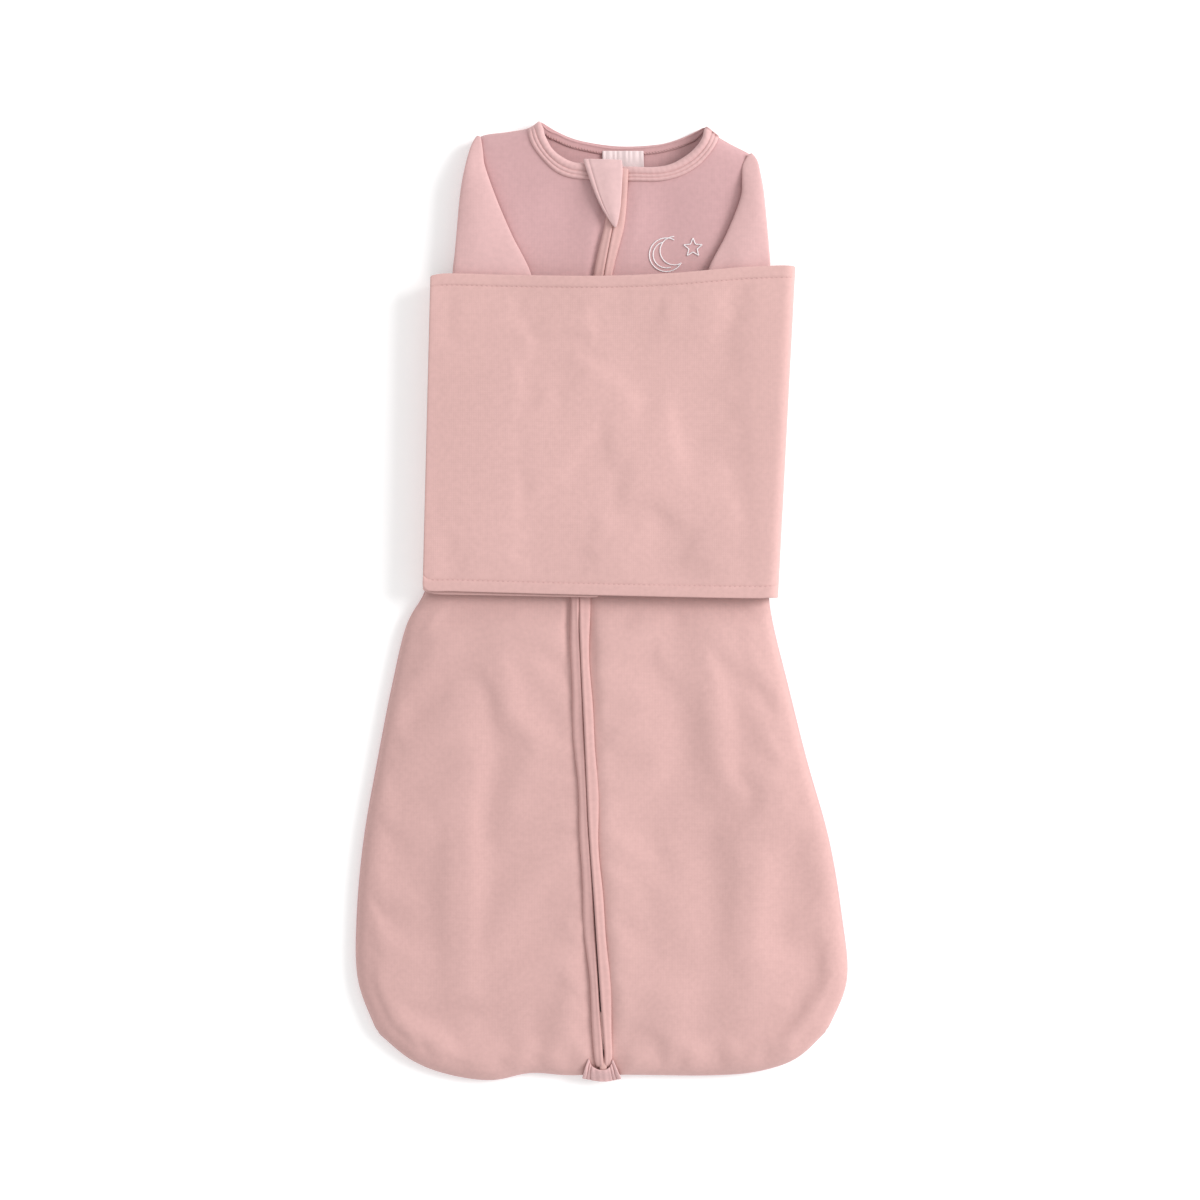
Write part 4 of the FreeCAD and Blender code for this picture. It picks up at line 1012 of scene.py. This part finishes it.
MOON_RADIUS, MOON_INNER_RADIUS = 11.4, 8.9
BITE_RADIUS, BITE_SHIFT = 9.6, 5.4
STAR_TIP, STAR_NOTCH = 6.6, 2.9
moon_low, moon_high = (corner * 1000 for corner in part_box("chest_moon"))
moon_centre = (moon_low.x + 12, (moon_low.y + moon_high.y) / 2)
bite_centre = (moon_centre[0] + BITE_SHIFT, moon_centre[1] + BITE_SHIFT / 2)
moon_back = arc_points(moon_centre, MOON_RADIUS, 62, 332, 80)
horns = [
    math.degrees(math.atan2(horn[1] - bite_centre[1], horn[0] - bite_centre[0])) % 360
    for horn in (moon_back[-1], moon_back[0])
]
moon_bite = arc_points(bite_centre, BITE_RADIUS, *horns, 60)
moon_lines = [moon_back, moon_bite, arc_points(moon_centre, MOON_INNER_RADIUS, 105, 290, 50)]
star_low, star_high = (corner * 1000 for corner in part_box("chest_star"))
star_centre = np.array([(star_low.x + star_high.x) / 2, (star_low.y + star_high.y) / 2])
tips = [
    star_centre + radius * np.array([math.sin(k * math.pi / 5), math.cos(k * math.pi / 5)])
    for k, radius in enumerate([STAR_TIP, STAR_NOTCH] * 5 + [STAR_TIP])
]
star_line = joined(*[np.linspace(tips[k], tips[k + 1], 8) for k in range(10)])
for name, lines in (("chest_moon", moon_lines), ("chest_star", [star_line])):
    for k, line in enumerate(lines):
        row_name = f"{name}_{k}" if k else name
        row = stitches(row_name, on_chest(line), 1.15, -0.25, 0.85, white_thread, slant=0.35)
        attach(row, "bag")
        if k == 0:
            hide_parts(name)

# ---------------------------------------------------------------------------------------
# Swaddle band. One long panel of double jersey runs under the bag and round both its
# sides. Its wings cross over the sleeves, and hook and loop tape holds them shut. Hems
# are turned in and stitched a finger's breadth from each long edge.

rose_band = knit("rose_double_jersey", (0.672, 0.42, 0.397), wale=260, depth=0.0003)
OUTER_LOW = [
    (-120.4, 9.6), (-118, 6.6), (-100, 6.2), (-60, 5.1), (0, 3.6), (60, 2.3), (100, 1.6), (118.5, 1.4),
]
OUTER_HIGH = [
    (-115.2, 217.4), (-106, 218.8), (-75, 218.2), (-43, 217.6), (6, 217.3), (51, 218.9),
    (83, 221.4), (105, 223.2), (130.4, 224.2),
]
BAND_WIDTH, HEM_ROW, SIDE_TURN = 208, 7.1, 11.0
OUTER_THICK, INNER_THICK, BACK_THICK = 1.1, 1.2, 1.3
HEM_STITCH, HEM_STITCH_GAP = 2.6, 0.75
EDGE_STEPS = np.array([0, 1.1, 3.0, 5.2, 6.4, 7.1, 7.8, 9.0, 11.5])
wing_rows = np.concatenate([EDGE_STEPS, np.linspace(15, 193, 50), BAND_WIDTH - EDGE_STEPS[::-1]]) / BAND_WIDTH


def hem_relief(v):
    """Extra height of the turned hems, with a groove along each row of stitches."""
    away = np.minimum(v, 1 - v) * BAND_WIDTH
    fold = 0.45 * (1 - ease(away, 6.6, 8.2))
    groove = 0.75 * np.exp(-(((away - HEM_ROW) / 0.55) ** 2))
    return fold - groove


def side_fold(low, high, v, wing_z, sign, count=26):
    """The turn of the band round the bag's side, from under the bag up to the wing."""
    turns = np.linspace(-math.pi / 2, math.pi / 2, count)
    out = np.abs(np.cos(turns)) ** 0.62
    up = np.sign(np.sin(turns)) * np.abs(np.sin(turns)) ** 0.78
    edge = np.array(low) + (np.array(high) - np.array(low)) * v[:, None]
    x = edge[:, :1] + sign * (out[None] * (SIDE_TURN - 0.6) - SIDE_TURN)
    y = np.repeat(edge[:, 1:], count, 1)
    z = 0.75 + (wing_z - 0.75) * (up[None] + 1) / 2
    return np.dstack([x, y, np.repeat(z, len(v), 0)])


wing_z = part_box("outer_wing")[0].z * 1000 + 0.85
fold_low, fold_high = (118.5, 1.8), (130.2, 224.2)
v = wing_rows
turn = side_fold(fold_low, fold_high, v, wing_z, 1)[:, ::-1]
steps = even(74)
low_line, high_line = smooth_line(OUTER_LOW, steps), smooth_line(OUTER_HIGH, steps)
# The flat part ends where the turn round the side begins.
for line, free_x, fold_x in ((low_line, -120.2, fold_low[0]), (high_line, -115.4, fold_high[0])):
    line[:, 0] = free_x + (line[:, 0] - free_x) * (fold_x - SIDE_TURN - free_x) / (fold_x - free_x)
plan = low_line[None] + (high_line - low_line)[None] * v[:, None, None]
x, y = plan[..., 0], plan[..., 1]
dips = 0.5 + 0.42 * ripples(x, y, 71, 95, 150) + 0.16 * ripples(x, y, 77, 40, 260)
calm = ease(x, -119, -95) * (1 - ease(x, 85, 112))
on_tape = ease(x, -113, -106) * (1 - ease(x, -62, -54)) * ease(y, 50, 60) * (1 - ease(y, 165, 175))
room = 1.5 + 1.1 * ease(x, -3, 25)
flat_wing = np.dstack([x, y, wing_z - room * dips * calm * (1 - on_tape)])
inside_wing = np.minimum(np.minimum(v, 1 - v)[:, None] * BAND_WIDTH, np.minimum(x + 118, 108 - x))
flat_wing = relaxed(flat_wing, 1 - ease(inside_wing, 6, 26) * (1 - on_tape), cap=2.2, slack=0.006)
sunk = room / (1 + np.exp(-((wing_z - flat_wing[..., 2]) - 0.5 * room) / (0.28 * room)))
flat_wing[..., 2] = wing_z - sunk * ease(inside_wing, 0, 16) * (1 - on_tape)
outer_middle = np.concatenate([flat_wing, turn[:, 1:]], 1)
outer_middle[..., 2] += (hem_relief(v) - 0.45)[:, None] * np.concatenate(
    [np.ones(74), np.linspace(1, 0, len(turn[0]) - 1) ** 0.5]
)
outer_wing = cloth_piece("outer_wing", outer_middle, OUTER_THICK, rose_band)
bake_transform(outer_wing)
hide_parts("outer_wing", "band_fold_left")

inner_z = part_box("inner_wing")[0].z * 1000 + 0.75
inner_low, inner_high = (-121.4, 8.4), (-115.6, 214.5)
turn = side_fold(inner_low, inner_high, v, inner_z, -1)
steps = even(50)
INNER_LOW = [(-110.4, 4.2), (-60, 3.2), (-10, 2.2), (-3.2, 2.2)]
INNER_HIGH = [(-104.6, 213.5), (-60, 213.8), (-20, 214), (-4.5, 214)]
low_line, high_line = smooth_line(INNER_LOW, steps), smooth_line(INNER_HIGH, steps)
plan = low_line[None] + (high_line - low_line)[None] * v[:, None, None]
turn[..., 1] += (plan[:, :1, 1] - turn[..., 1]) * np.linspace(0, 1, turn.shape[1])[None] ** 2
turn[..., 0] += (plan[:, :1, 0] - turn[:, -1:, 0]) * np.linspace(0, 1, turn.shape[1])[None] ** 2
inner_flat = np.dstack([plan, np.full(plan.shape[:2], inner_z)])
inner_middle = np.concatenate([turn[:, :-1], inner_flat], 1)
inner_middle[..., 2] += 0.35 * hem_relief(v)[:, None] * np.concatenate(
    [np.linspace(0, 1, len(turn[0]) - 1) ** 0.5, np.ones(50)]
)
inner_wing = cloth_piece("inner_wing", inner_middle, INNER_THICK, rose_band)
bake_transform(inner_wing)
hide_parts("inner_wing", "band_fold_right")

back_low_line = np.stack([np.linspace(-110.6, 108, 60), np.linspace(8, 2.4, 60)], -1)
back_high_line = np.stack([np.linspace(-105, 119.6, 60), np.linspace(214.6, 223.6, 60)], -1)
plan = back_low_line[None] + (back_high_line - back_low_line)[None] * v[:, None, None]
under = np.dstack([plan, np.full(plan.shape[:2], 0.72)])
under[..., 2] -= 0.09 * hem_relief(v)[:, None]
band_back = cloth_piece("band_back", under, BACK_THICK, rose_band)
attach(band_back, "bag")
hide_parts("band_back")

for name, where in (("low", HEM_ROW / BAND_WIDTH), ("high", 1 - HEM_ROW / BAND_WIDTH)):
    k = int(np.argmin(np.abs(v - where)))
    row = outer_middle[k, 2:96] + np.array([0, 0, 0.62])
    seam = stitches("outer_wing_stitches_" + name, row, HEM_STITCH, HEM_STITCH_GAP, 0.6, thread)
    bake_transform(seam)
k = int(np.argmin(np.abs(v - HEM_ROW / BAND_WIDTH)))
row = inner_middle[k, 26:-2] + np.array([0, 0, 0.62])
seam = stitches("inner_wing_stitches", row, HEM_STITCH, HEM_STITCH_GAP, 0.5, thread)
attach(seam, "inner_wing")

# ---------------------------------------------------------------------------------------
# Hook and loop tape. A stiff patch of tiny hooks under the outer wing and a softer brushed
# patch on the inner wing, both sewn on, which keep the band closed.

hook_grip = knit("hook_tape_grip", (0.70, 0.47, 0.45), wale=380, depth=0.0008, sheen=0.0)
loop_pile = knit("loop_tape_pile", (0.74, 0.52, 0.50), wale=620, depth=0.0006, sheen=0.5)
PATCH_THICK = 0.55
for name, material, body in (
    ("hook_tape", hook_grip, "outer_wing"),
    ("loop_tape", loop_pile, "inner_wing"),
):
    low, high = (corner * 1000 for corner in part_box(name))
    x = np.linspace(low.x + 0.4, high.x - 0.4, 40)
    y = np.linspace(low.y + 0.4, high.y - 0.4, 80)
    x, y = np.meshgrid(x, y)
    inward = np.minimum(np.minimum(x - low.x, high.x - x), np.minimum(y - low.y, high.y - y))
    rough = 0.08 * ripples(x, y, 5, 2.2, 2.4) * ease(inward, 2.2, 3.5)
    z = (low.z + high.z) / 2 + rough - 0.12 * (1 - ease(inward, 0, 1.5))
    patch = cloth_piece(name, np.dstack([x, y, z]), PATCH_THICK, material)
    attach(patch, body)
    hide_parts(name)

bpy.context.view_layer.update()
